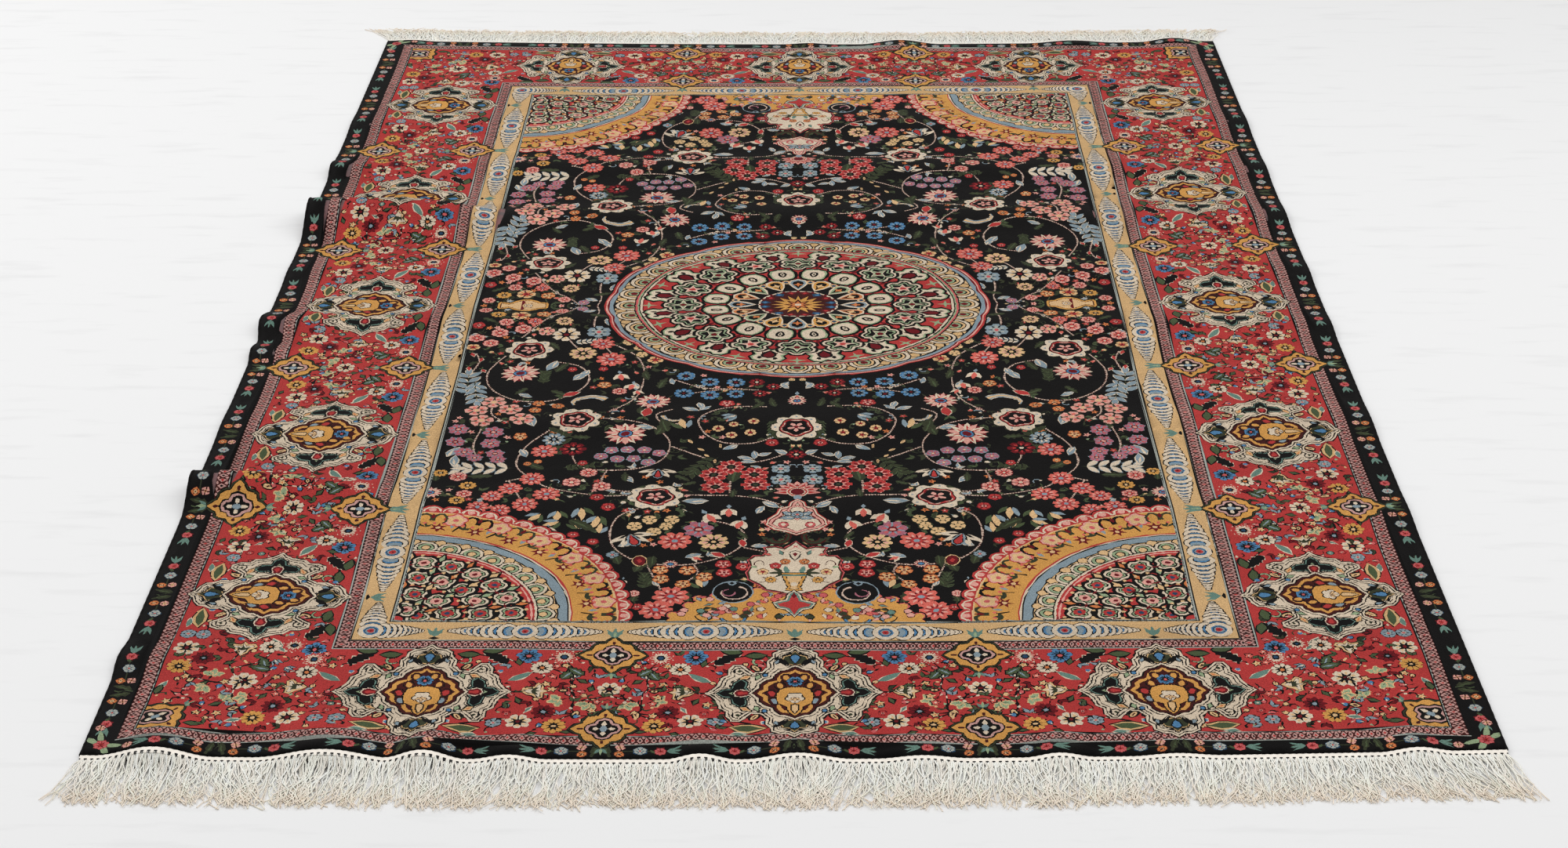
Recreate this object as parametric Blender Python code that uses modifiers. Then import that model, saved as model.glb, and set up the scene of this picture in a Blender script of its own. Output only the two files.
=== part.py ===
"""A hand-knotted silk rug with a warp fringe at both ends, lying on a floor.

Metres, +Z up, floor at z = 0. +X runs across the rug and +Y along it, with the origin under the
middle of the whole. The pile cloth is one sheet; each end has a woven strip, parted from the
cloth by a hair, whose outer face carries the fringe locks.
"""
import math
import random

import bmesh
import bpy

# Whole rug
WIDTH = 1.83
PILE_LENGTH = 2.74
STRIP_DEPTH = 0.010
PILE_THICKNESS = 0.0055
STRIP_THICKNESS = 0.0030
SEAM_GAP = 0.0003
CLOTH_MIDDLE = 0.0195

# Fringe
FRONT_LENGTH = 0.102
BACK_LENGTH = 0.090
LOCKS_PER_END = 84
ROOT_GAP = 0.003
ROOT_WIDTH = (WIDTH + ROOT_GAP) / LOCKS_PER_END - ROOT_GAP
LOCK_PITCH = ROOT_WIDTH + ROOT_GAP
LOCK_BEND = 0.34
BEND_WIDTH = 0.0085
BEND_HEIGHT = 0.0040
TIP_WIDTH = 0.0050
TIP_HEIGHT = 0.0022
CORNER_SPREAD = 0.036
SPREAD_POWER = 7
SHORTEST_LOCK = 0.86
BEND_WANDER = 0.0022
TIP_WANDER = 0.0040
FRONT_SEED = 11
BACK_SEED = 23

# Grid of the pile cloth
COLUMNS = 32
ROWS = 50
LEFT_EXTRA = 0.8
LEFT_REACH = 0.30
FOLD_EXTRA = 3.2
FOLD_NEAR = 0.16
END_NEAR = 0.15
DENSITY_SAMPLES = 800
SMOOTH_ANGLE = math.radians(40)

# Folds that run in from the left edge. crest: y of the top; height: at the left edge; front, back:
# how far the flanks reach on either side; level: how far in the fold keeps its height; reach:
# where it ends; bulge: how far the edge swings out at the crest.
FOLD_FIELDS = ("crest", "height", "front", "back", "level", "reach", "bulge")
FOLD_TABLE = (
    (0.374, 0.042, 0.120, 0.060, 0.160, 0.480, 0.000),
    (-0.672, 0.033, 0.080, 0.050, 0.050, 0.360, 0.000),
    (0.616, 0.013, 0.060, 0.045, 0.000, 0.150, 0.001),
    (-0.089, 0.013, 0.070, 0.055, 0.000, 0.160, 0.007),
    (-0.195, 0.008, 0.050, 0.045, 0.000, 0.120, 0.003),
    (-1.140, 0.005, 0.060, 0.060, 0.000, 0.120, 0.003),
)
FOLDS = [dict(zip(FOLD_FIELDS, row)) for row in FOLD_TABLE]
TALL_FOLDS = FOLDS[:2]

# Soft waves across the whole width. crest: y of the top at the middle; height; half: how far it
# spreads to each side; slant: how far the crest moves along Y from one long edge to the other.
WAVE_FIELDS = ("crest", "height", "half", "slant")
WAVE_TABLE = (
    (0.875, 0.0045, 0.085, 0.020),
    (0.635, 0.0050, 0.080, -0.015),
    (0.395, 0.0060, 0.085, 0.010),
    (0.135, 0.0040, 0.070, 0.015),
    (-0.075, 0.0045, 0.065, -0.010),
    (-0.445, 0.0040, 0.085, 0.020),
    (-0.720, 0.0035, 0.080, -0.015),
)
WAVES = [dict(zip(WAVE_FIELDS, row)) for row in WAVE_TABLE]
WAVE_GIVES_WAY = 0.02  # a fold this high takes the waves under it up

# Raised places of the two ends. end: -1 the front, 1 the back; centre: x of the top; height; half:
# how far it spreads along the edge; reach: how far it runs into the rug.
EDGE_FIELDS = ("end", "centre", "height", "half", "reach")
EDGE_TABLE = (
    (-1, -0.820, 0.015, 0.078, 0.130),
    (-1, -0.600, 0.014, 0.095, 0.150),
    (-1, -0.475, 0.014, 0.056, 0.130),
    (-1, -0.365, 0.007, 0.050, 0.100),
    (-1, -0.120, 0.009, 0.047, 0.110),
    (-1, 0.005, 0.010, 0.070, 0.110),
    (-1, 0.165, 0.005, 0.060, 0.090),
    (-1, 0.340, 0.007, 0.047, 0.100),
    (-1, 0.490, 0.004, 0.060, 0.090),
    (-1, 0.800, 0.007, 0.050, 0.100),
    (1, -0.860, 0.003, 0.055, 0.090),
    (1, 0.020, 0.003, 0.060, 0.090),
    (1, 0.220, 0.010, 0.090, 0.130),
    (1, 0.600, 0.006, 0.100, 0.110),
    (1, 0.825, 0.009, 0.075, 0.120),
)
EDGE_WAVES = [dict(zip(EDGE_FIELDS, row)) for row in EDGE_TABLE]

# How far the cloth lies shifted along Y at its left edge, middle and right edge, for places y of
# the straight cloth. The wefts bow towards the front, and the folds draw the left side forward.
SLIDE_FIELDS = ("y", "left", "middle", "right")
SLIDE_TABLE = (
    (-1.37, -0.012, -0.016, 0.010),
    (-0.98, -0.011, -0.018, 0.000),
    (0.00, -0.030, -0.022, -0.005),
    (0.60, -0.046, -0.022, 0.000),
    (0.98, -0.022, -0.024, 0.002),
    (1.37, -0.012, -0.034, -0.010),
)
SLIDES = [dict(zip(SLIDE_FIELDS, row)) for row in SLIDE_TABLE]


def clear_scene():
    for item in list(bpy.data.objects):
        bpy.data.objects.remove(item, do_unlink=True)


def swell(distance, half):
    """A smooth hump: 1 at distance 0, level with the floor from distance half on."""
    if abs(distance) >= half:
        return 0.0
    return 0.5 + 0.5 * math.cos(math.pi * distance / half)


def fade(distance, reach):
    """1 at distance 0, falling smoothly to 0 at reach."""
    return swell(min(max(distance, 0.0), reach), reach)


def fold_profile(fold, y):
    """A fold's section along Y, steeper behind its crest than in front."""
    away = y - fold["crest"]
    return swell(away, fold["back"] if away > 0 else fold["front"])


def fold_fade(fold, x):
    inward = x + WIDTH / 2 - fold["level"]
    return fade(inward, fold["reach"] - fold["level"])


def fold_lift(fold, x, y):
    return fold["height"] * fold_profile(fold, y) * fold_fade(fold, x)


def wave_lift(wave, x, y):
    crest = wave["crest"] + wave["slant"] * x / WIDTH
    return wave["height"] * swell(y - crest, wave["half"])


def edge_lift(wave, x, straight_y):
    """A raised place of an end, at its full height from the pile's edge outwards."""
    inward = PILE_LENGTH / 2 - wave["end"] * straight_y
    return wave["height"] * swell(x - wave["centre"], wave["half"]) * fade(inward, wave["reach"])


def lift(x, y, straight_y):
    """Height of the rug's underside over the floor."""
    folds = sum(fold_lift(fold, x, y) for fold in FOLDS)
    waves = sum(wave_lift(wave, x, y) for wave in WAVES)
    edges = sum(edge_lift(wave, x, straight_y) for wave in EDGE_WAVES)
    return folds + waves * fade(folds, WAVE_GIVES_WAY) + edges


def ease(part):
    """0 to 1, starting and ending gently."""
    return 0.5 - 0.5 * math.cos(math.pi * part)


def slide(x, y):
    """The cloth's shift along Y: eased between the table's rows, and a curve across the width."""
    y = min(max(y, SLIDES[0]["y"]), SLIDES[-1]["y"])
    for low, high in zip(SLIDES, SLIDES[1:]):
        if low["y"] <= y <= high["y"]:
            part = ease((y - low["y"]) / (high["y"] - low["y"]))
            left, middle, right = (
                low[side] + part * (high[side] - low[side]) for side in SLIDE_FIELDS[1:]
            )
            break
    across = 2 * x / WIDTH
    bend = (left + right) / 2 - middle
    return middle + across * (right - left) / 2 + across * across * bend


def drape(x, y):
    """Where a point of the straight cloth's underside lies."""
    placed_y = y + slide(x, y) + CLOTH_MIDDLE
    swing = sum(
        fold["bulge"] * fold_profile(fold, placed_y) * fold_fade(fold, x) for fold in FOLDS
    )
    return (x - swing, placed_y, lift(x, placed_y, y))


def spread(start, end, count, density):
    """count + 1 positions from start to end, closer together where density is higher."""
    step = (end - start) / DENSITY_SAMPLES
    places = [start + step * i for i in range(DENSITY_SAMPLES + 1)]
    total = [0.0]
    for place in places[:-1]:
        total.append(total[-1] + density(place + step / 2))
    result = []
    at = 0
    for i in range(count + 1):
        goal = total[-1] * i / count
        while at < DENSITY_SAMPLES - 1 and total[at + 1] < goal:
            at += 1
        part = (goal - total[at]) / (total[at + 1] - total[at])
        result.append(places[at] + step * part)
    return result


def row_density(y):
    """Rows stand closer at the two tall folds and at both ends."""
    folds = sum(swell(y - fold["crest"], FOLD_NEAR) for fold in TALL_FOLDS)
    ends = fade(PILE_LENGTH / 2 - abs(y), END_NEAR)
    return 1.0 + FOLD_EXTRA * folds + ends


def column_density(x):
    return 1.0 + LEFT_EXTRA * fade(x + WIDTH / 2, LEFT_REACH)


def make_material(name, colour, roughness):
    material = bpy.data.materials.new(name)
    material.use_nodes = True
    shader = material.node_tree.nodes["Principled BSDF"]
    shader.inputs["Base Color"].default_value = (*colour, 1.0)
    shader.inputs["Roughness"].default_value = roughness
    shader.inputs["Metallic"].default_value = 0.0
    return material


def add_object(name, mesh, material, collection):
    item = bpy.data.objects.new(name, mesh)
    item.data.materials.append(material)
    collection.objects.link(item)
    return item


def pile_cloth(material, collection):
    """The knotted cloth: a grid laid over the folds and waves, made a sheet by Solidify."""
    half = PILE_LENGTH / 2
    across = spread(-WIDTH / 2, WIDTH / 2, COLUMNS, column_density)
    along = spread(-half, half, ROWS, row_density)
    grid = bmesh.new()
    bmesh.ops.create_grid(grid, x_segments=COLUMNS, y_segments=ROWS, size=0.5)
    for vert in grid.verts:
        column = round((vert.co.x + 0.5) * COLUMNS)
        row = round((vert.co.y + 0.5) * ROWS)
        vert.co = drape(across[column], along[row])
    mesh = bpy.data.meshes.new("rug_body")
    grid.to_mesh(mesh)
    grid.free()
    item = add_object("rug_body", mesh, material, collection)
    sheet = item.modifiers.new("sheet", "SOLIDIFY")
    sheet.thickness = PILE_THICKNESS
    sheet.offset = 1.0
    sheet.use_even_offset = False
    mesh.shade_smooth()
    mesh.set_sharp_from_angle(angle=SMOOTH_ANGLE)
    return item


def strip_mesh(end):
    """The woven strip at one end, with a root face for each lock and a short gap after it."""
    inner = end * (PILE_LENGTH / 2 + SEAM_GAP)
    outer = end * (PILE_LENGTH / 2 + STRIP_DEPTH)
    strip = bmesh.new()
    columns = []
    for i in range(LOCKS_PER_END):
        left = LOCK_PITCH * i - WIDTH / 2
        for x in (left, left + ROOT_WIDTH):
            corners = []
            for y, top in ((inner, 0), (outer, 0), (outer, 1), (inner, 1)):
                px, py, pz = drape(x, y)
                corners.append(strip.verts.new((px, py, pz + top * STRIP_THICKNESS)))
            columns.append(corners)
    root_faces = []
    for i, (left, right) in enumerate(zip(columns, columns[1:])):
        for k in range(4):
            n = (k + 1) % 4
            face = strip.faces.new((left[k], left[n], right[n], right[k]))
            if k == 1 and i % 2 == 0:
                root_faces.append(face)
    strip.faces.new(columns[0])
    strip.faces.new(columns[-1])
    bmesh.ops.recalc_face_normals(strip, faces=strip.faces)
    return strip, root_faces


def fringe_lean(x):
    """The locks near the corners splay outwards."""
    return CORNER_SPREAD * (2 * x / WIDTH) ** SPREAD_POWER


def lock_sections(end, index, chance):
    """The bend and the tip of one lock: middle, width and height of each section."""
    x = LOCK_PITCH * index + ROOT_WIDTH / 2 - WIDTH / 2
    corner = index in (0, LOCKS_PER_END - 1)
    wander = 0.0 if corner else chance.uniform(-1, 1)
    share = 1.0 - (1.0 - SHORTEST_LOCK) * chance.random()
    length = share * (FRONT_LENGTH if end < 0 else BACK_LENGTH)
    root_y = drape(x, end * (PILE_LENGTH / 2 + STRIP_DEPTH))[1]
    bend_x = x + fringe_lean(x) * LOCK_BEND + wander * BEND_WANDER
    tip_x = x + fringe_lean(x) + wander * TIP_WANDER
    bend = (bend_x, root_y + end * length * LOCK_BEND, BEND_WIDTH, BEND_HEIGHT)
    tip = (tip_x, root_y + end * length, TIP_WIDTH, TIP_HEIGHT)
    return bend, tip


def set_section(face, middle_x, y, width, height):
    """Moves a face's four points to an upright section that stands on the floor."""
    across = sorted(face.verts, key=lambda vert: vert.co.x)
    for side, pair in ((-1, across[:2]), (1, across[2:])):
        low, high = sorted(pair, key=lambda vert: vert.co.z)
        low.co = (middle_x + side * width / 2, y, 0.0)
        high.co = (middle_x + side * width / 2, y, height)


def fringe(name, end, material, collection):
    """One end's strip with its locks, drawn out of the strip's outer face and laid on the floor."""
    chance = random.Random(FRONT_SEED if end < 0 else BACK_SEED)
    strip, root_faces = strip_mesh(end)
    sections = [lock_sections(end, i, chance) for i in range(LOCKS_PER_END)]
    for step in range(2):
        made = bmesh.ops.extrude_discrete_faces(strip, faces=root_faces)["faces"]
        root_faces = sorted(made, key=lambda face: face.calc_center_median().x)
        for face, places in zip(root_faces, sections):
            set_section(face, *places[step])
    bmesh.ops.recalc_face_normals(strip, faces=strip.faces)
    mesh = bpy.data.meshes.new(name)
    strip.to_mesh(mesh)
    strip.free()
    return add_object(name, mesh, material, collection)


def main():
    clear_scene()
    collection = bpy.data.collections.new("silk_rug")
    bpy.context.scene.collection.children.link(collection)
    pile = make_material("silk_pile", (0.09, 0.018, 0.02), 0.62)
    warp = make_material("silk_warp", (0.58, 0.54, 0.46), 0.70)
    pile_cloth(pile, collection)
    fringe("fringe_front", -1, warp, collection)
    fringe("fringe_back", 1, warp, collection)


main()
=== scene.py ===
"""The looks of a hand-knotted silk rug with a warp fringe at both ends, lying on a floor.

The pile's pattern is drawn here as flat shapes, in millimetres, for one quarter of the rug, and is
mirrored to the other three. The shapes are cut into one mesh, which is then laid over the same
folds and waves as the solid cloth.
"""
import math
import random

import bpy
import numpy as np
from mathutils import Matrix, Vector
from mathutils.geometry import delaunay_2d_cdt


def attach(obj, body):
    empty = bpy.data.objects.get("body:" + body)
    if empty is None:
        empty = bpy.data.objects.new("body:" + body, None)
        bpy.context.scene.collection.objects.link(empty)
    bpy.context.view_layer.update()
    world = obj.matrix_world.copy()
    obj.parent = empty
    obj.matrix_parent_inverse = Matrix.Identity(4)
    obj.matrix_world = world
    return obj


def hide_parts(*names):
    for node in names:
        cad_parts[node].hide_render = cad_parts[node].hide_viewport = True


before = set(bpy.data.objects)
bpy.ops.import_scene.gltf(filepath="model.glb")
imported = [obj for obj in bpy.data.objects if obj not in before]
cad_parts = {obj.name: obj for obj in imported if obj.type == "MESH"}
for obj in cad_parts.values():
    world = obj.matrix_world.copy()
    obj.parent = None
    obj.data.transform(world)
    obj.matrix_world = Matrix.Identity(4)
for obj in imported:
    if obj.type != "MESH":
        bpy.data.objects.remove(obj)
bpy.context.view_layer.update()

# Whole rug, in metres: the same sizes as the solids
WIDTH = 1.83
PILE_LENGTH = 2.74
PILE_THICKNESS = 0.0055
CLOTH_MIDDLE = 0.0195
MILLIMETRE = 0.001

# Folds that run in from the left edge
FOLD_FIELDS = ("crest", "height", "front", "back", "level", "reach", "bulge")
FOLD_TABLE = (
    (0.374, 0.042, 0.120, 0.060, 0.160, 0.480, 0.000),
    (-0.672, 0.033, 0.080, 0.050, 0.050, 0.360, 0.000),
    (0.616, 0.013, 0.060, 0.045, 0.000, 0.150, 0.001),
    (-0.089, 0.013, 0.070, 0.055, 0.000, 0.160, 0.007),
    (-0.195, 0.008, 0.050, 0.045, 0.000, 0.120, 0.003),
    (-1.140, 0.005, 0.060, 0.060, 0.000, 0.120, 0.003),
)
FOLDS = [dict(zip(FOLD_FIELDS, row)) for row in FOLD_TABLE]

# Soft waves across the whole width
WAVE_FIELDS = ("crest", "height", "half", "slant")
WAVE_TABLE = (
    (0.875, 0.0045, 0.085, 0.020),
    (0.635, 0.0050, 0.080, -0.015),
    (0.395, 0.0060, 0.085, 0.010),
    (0.135, 0.0040, 0.070, 0.015),
    (-0.075, 0.0045, 0.065, -0.010),
    (-0.445, 0.0040, 0.085, 0.020),
    (-0.720, 0.0035, 0.080, -0.015),
)
WAVES = [dict(zip(WAVE_FIELDS, row)) for row in WAVE_TABLE]
WAVE_GIVES_WAY = 0.02

# Raised places of the two ends
EDGE_FIELDS = ("end", "centre", "height", "half", "reach")
EDGE_TABLE = (
    (-1, -0.820, 0.015, 0.078, 0.130),
    (-1, -0.600, 0.014, 0.095, 0.150),
    (-1, -0.475, 0.014, 0.056, 0.130),
    (-1, -0.365, 0.007, 0.050, 0.100),
    (-1, -0.120, 0.009, 0.047, 0.110),
    (-1, 0.005, 0.010, 0.070, 0.110),
    (-1, 0.165, 0.005, 0.060, 0.090),
    (-1, 0.340, 0.007, 0.047, 0.100),
    (-1, 0.490, 0.004, 0.060, 0.090),
    (-1, 0.800, 0.007, 0.050, 0.100),
    (1, -0.860, 0.003, 0.055, 0.090),
    (1, 0.020, 0.003, 0.060, 0.090),
    (1, 0.220, 0.010, 0.090, 0.130),
    (1, 0.600, 0.006, 0.100, 0.110),
    (1, 0.825, 0.009, 0.075, 0.120),
)
EDGE_WAVES = [dict(zip(EDGE_FIELDS, row)) for row in EDGE_TABLE]

# How far the cloth lies shifted along Y at its left edge, middle and right edge
SLIDE_FIELDS = ("y", "left", "middle", "right")
SLIDE_TABLE = (
    (-1.37, -0.012, -0.016, 0.010),
    (-0.98, -0.011, -0.018, 0.000),
    (0.00, -0.030, -0.022, -0.005),
    (0.60, -0.046, -0.022, 0.000),
    (0.98, -0.022, -0.024, 0.002),
    (1.37, -0.012, -0.034, -0.010),
)
SLIDES = [dict(zip(SLIDE_FIELDS, row)) for row in SLIDE_TABLE]


def swell(distance, half):
    """A smooth hump: 1 at distance 0, level from distance half on."""
    return np.where(np.abs(distance) < half, 0.5 + 0.5 * np.cos(np.pi * distance / half), 0.0)


def fade(distance, reach):
    return swell(np.clip(distance, 0.0, reach), reach)


def fold_profile(fold, y):
    away = y - fold["crest"]
    return swell(away, np.where(away > 0, fold["back"], fold["front"]))


def fold_fade(fold, x):
    return fade(x + WIDTH / 2 - fold["level"], fold["reach"] - fold["level"])


def edge_lift(wave, x, straight_y):
    inward = PILE_LENGTH / 2 - wave["end"] * straight_y
    return wave["height"] * swell(x - wave["centre"], wave["half"]) * fade(inward, wave["reach"])


def lift(x, y, straight_y):
    """Height of the rug's underside over the floor."""
    folds = sum(fold["height"] * fold_profile(fold, y) * fold_fade(fold, x) for fold in FOLDS)
    waves = sum(
        wave["height"] * swell(y - wave["crest"] - wave["slant"] * x / WIDTH, wave["half"])
        for wave in WAVES
    )
    edges = sum(edge_lift(wave, x, straight_y) for wave in EDGE_WAVES)
    return folds + waves * fade(folds, WAVE_GIVES_WAY) + edges


def slide(x, y):
    """The cloth's shift along Y: eased between the table's rows, and a curve across the width."""
    rows = [row["y"] for row in SLIDES]
    y = np.clip(y, rows[0], rows[-1])
    low = np.clip(np.searchsorted(rows, y, side="right") - 1, 0, len(rows) - 2)
    places = np.array(rows)
    part = 0.5 - 0.5 * np.cos(np.pi * (y - places[low]) / (places[low + 1] - places[low]))
    left, middle, right = (
        (1 - part) * column[low] + part * column[low + 1]
        for column in (np.array([row[side] for row in SLIDES]) for side in SLIDE_FIELDS[1:])
    )
    across = 2 * x / WIDTH
    return middle + across * (right - left) / 2 + across * across * ((left + right) / 2 - middle)


def drape(x, y):
    """Where points of the straight cloth's underside lie, as rows of x, y and z."""
    x = np.asarray(x, float)
    y = np.asarray(y, float)
    placed_y = y + slide(x, y) + CLOTH_MIDDLE
    swing = sum(fold["bulge"] * fold_profile(fold, placed_y) * fold_fade(fold, x) for fold in FOLDS)
    return np.stack([x - swing, placed_y, lift(x, placed_y, y)], axis=-1)


SLOPE_STEP = 0.002


def drape_normal(x, y):
    """The cloth's upward normal at points of the straight cloth."""
    along_x = drape(x + SLOPE_STEP, y) - drape(x - SLOPE_STEP, y)
    along_y = drape(x, y + SLOPE_STEP) - drape(x, y - SLOPE_STEP)
    normal = np.cross(along_x, along_y)
    return normal / np.linalg.norm(normal, axis=-1, keepdims=True)


def laid(x, y, height):
    """Points of the straight cloth, height above its underside, as they lie."""
    return drape(x, y) + np.asarray(height)[..., None] * drape_normal(x, y)


# Dyed silks: name, red, green and blue as seen on a screen, 0 to 255
INK_TABLE = (
    ("black", 10, 8, 8),
    ("red", 176, 56, 54),
    ("dark_red", 104, 18, 26),
    ("brown_red", 66, 22, 20),
    ("rose", 196, 92, 92),
    ("pink", 218, 158, 144),
    ("mauve", 166, 100, 114),
    ("coral", 208, 100, 88),
    ("lattice", 192, 148, 140),
    ("ivory", 214, 196, 172),
    ("cream", 216, 178, 130),
    ("beige", 206, 168, 118),
    ("yellow", 206, 150, 78),
    ("orange", 204, 120, 70),
    ("grey", 164, 168, 160),
    ("blue_grey", 132, 148, 156),
    ("blue", 78, 124, 162),
    ("deep_blue", 38, 66, 92),
    ("teal", 100, 130, 118),
    ("pale_green", 146, 164, 128),
    ("green", 72, 84, 56),
    ("olive", 52, 56, 38),
    ("vine", 204, 178, 160),
    ("woven", 250, 242, 230),
)
INKS = {row[0]: number for number, row in enumerate(INK_TABLE)}

HALF_WIDTH = 915.0
HALF_LENGTH = 1370.0
FULL_TURN = 2 * math.pi


def placed(x=0.0, y=0.0, turn=0.0, size=1.0, wide=1.0, within=None):
    """A matrix that puts a motif at x, y, turned anticlockwise by degrees; wide=-1 mirrors it."""
    angle = math.radians(turn)
    cosine, sine = math.cos(angle) * size, math.sin(angle) * size
    matrix = np.array([[cosine * wide, -sine, x], [sine * wide, cosine, y], [0.0, 0.0, 1.0]])
    return matrix if within is None else within @ matrix


class Pattern:
    """Flat shapes, each with its silk; later ones lie over earlier ones.

    taken holds x, y and reach of the pieces that leave no room for a sprig.
    """

    def __init__(self):
        self.outlines = []
        self.inks = []
        self.taken = []

    def paint(self, place, points, ink):
        points = np.asarray(points, float)
        self.outlines.append(points @ place[:2, :2].T + place[:2, 2])
        self.inks.append(INKS[ink])


def oval(across, along=None, corners=12):
    along = across if along is None else along
    angles = FULL_TURN * np.arange(corners) / corners
    return np.stack([across * np.cos(angles), along * np.sin(angles)], axis=1)


def lobed(radius, lobes, depth, steps=4, start=90.0):
    """A flower's outline: round petals with notches between them."""
    angles = FULL_TURN * np.arange(lobes * steps) / (lobes * steps)
    reach = radius * (1 - depth + depth * np.abs(np.cos(lobes * angles / 2)) ** 0.7)
    angles = angles + math.radians(start)
    return np.stack([reach * np.cos(angles), reach * np.sin(angles)], axis=1)


def star(radius, points, inner, start=90.0):
    angles = math.radians(start) + math.pi * np.arange(2 * points) / points
    reach = np.where(np.arange(2 * points) % 2 == 0, radius, inner)
    return np.stack([reach * np.cos(angles), reach * np.sin(angles)], axis=1)


def mirrored(half):
    """A closed outline from its right half, listed from top to bottom."""
    left = [(-x, y) for x, y in reversed(half) if x > 0]
    return np.array(list(half) + left, float)


SMALL_LEAF = 19.0


def drop(length, width):
    """A petal with its narrow foot at the origin and its round tip at +Y."""
    return mirrored([
        (0, length), (width * 0.36, length * 0.9), (width * 0.5, length * 0.66),
        (width * 0.3, length * 0.3), (0, 0),
    ])


def petal(length, width):
    """A simpler drop, for the flowers."""
    return mirrored([(width * 0.34, length), (width * 0.5, length * 0.58), (0, 0)])


def leaf(length, width, bend=0.0):
    """A leaf from the origin to a pointed tip, curved sideways by bend."""
    rows = ((0.0, 0.0), (0.3, 0.44), (0.55, 0.5), (0.8, 0.3), (1.0, 0.0))
    if length < SMALL_LEAF:
        rows = ((0.0, 0.0), (0.42, 0.5), (1.0, 0.0))
    right = [(bend * t * t + width * w, length * t) for t, w in rows]
    left = [(bend * t * t - width * w, length * t) for t, w in reversed(rows[1:-1])]
    return np.array(right + left)


def jagged(length, width, teeth=4, bend=0.0):
    """A leaf with a toothed edge."""
    right, left = [(0.0, 0.0)], []
    for i in range(teeth):
        for t, grow in ((i + 0.25, 0.62), (i + 0.9, 1.0)):
            t = t / teeth
            half = width / 2 * grow * math.sin(math.pi * min(0.12 + 0.85 * t, 1.0)) ** 0.8
            right.append((bend * t * t + half, length * t))
            left.append((bend * t * t - half, length * t))
    return np.array(right + [(bend, length)] + left[::-1])


def smooth(points, steps=3, closed=True):
    """A soft curve through the points."""
    points = np.asarray(points, float)
    count = len(points)
    result = []
    for i in range(count if closed else count - 1):
        if closed:
            a, b, c, d = (points[(i + k - 1) % count] for k in range(4))
        else:
            a, b, c, d = (points[min(max(i + k - 1, 0), count - 1)] for k in range(4))
        for k in range(steps):
            t = k / steps
            result.append(0.5 * (
                2 * b + (c - a) * t + (2 * a - 5 * b + 4 * c - d) * t ** 2
                + (3 * b - a - 3 * c + d) * t ** 3
            ))
    if not closed:
        result.append(points[-1])
    return np.array(result)


def sideways(path):
    """Unit normals along an open path."""
    ahead = np.gradient(path, axis=0)
    ahead /= np.maximum(np.linalg.norm(ahead, axis=1, keepdims=True), 1e-9)
    return np.stack([-ahead[:, 1], ahead[:, 0]], axis=1)


def ribbon(path, width, tip=None):
    """A band along an open path; tip is its width at the far end."""
    path = np.asarray(path, float)
    tip = width if tip is None else tip
    half = np.linspace(width / 2, tip / 2, len(path))[:, None]
    side = sideways(path) * half
    return np.concatenate([path + side, (path - side)[::-1]])


def grown(points, distance):
    """A closed outline moved outwards."""
    points = np.asarray(points, float)
    ahead = np.roll(points, -1, axis=0) - np.roll(points, 1, axis=0)
    ahead /= np.maximum(np.linalg.norm(ahead, axis=1, keepdims=True), 1e-9)
    out = np.stack([ahead[:, 1], -ahead[:, 0]], axis=1)
    x, y = points[:, 0], points[:, 1]
    area = np.sum(x * np.roll(y, -1) - np.roll(x, -1) * y)
    return points + out * distance * (1 if area > 0 else -1)


def arc(x, y, across, along, start, end, count=10):
    angles = np.radians(np.linspace(start, end, count))
    return np.stack([x + across * np.cos(angles), y + along * np.sin(angles)], axis=1)


def layers(art, place, points, *rings):
    """One outline painted several times, from the widest to the narrowest: growth and silk."""
    for growth, ink in rings:
        art.paint(place, grown(points, growth), ink)


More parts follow.
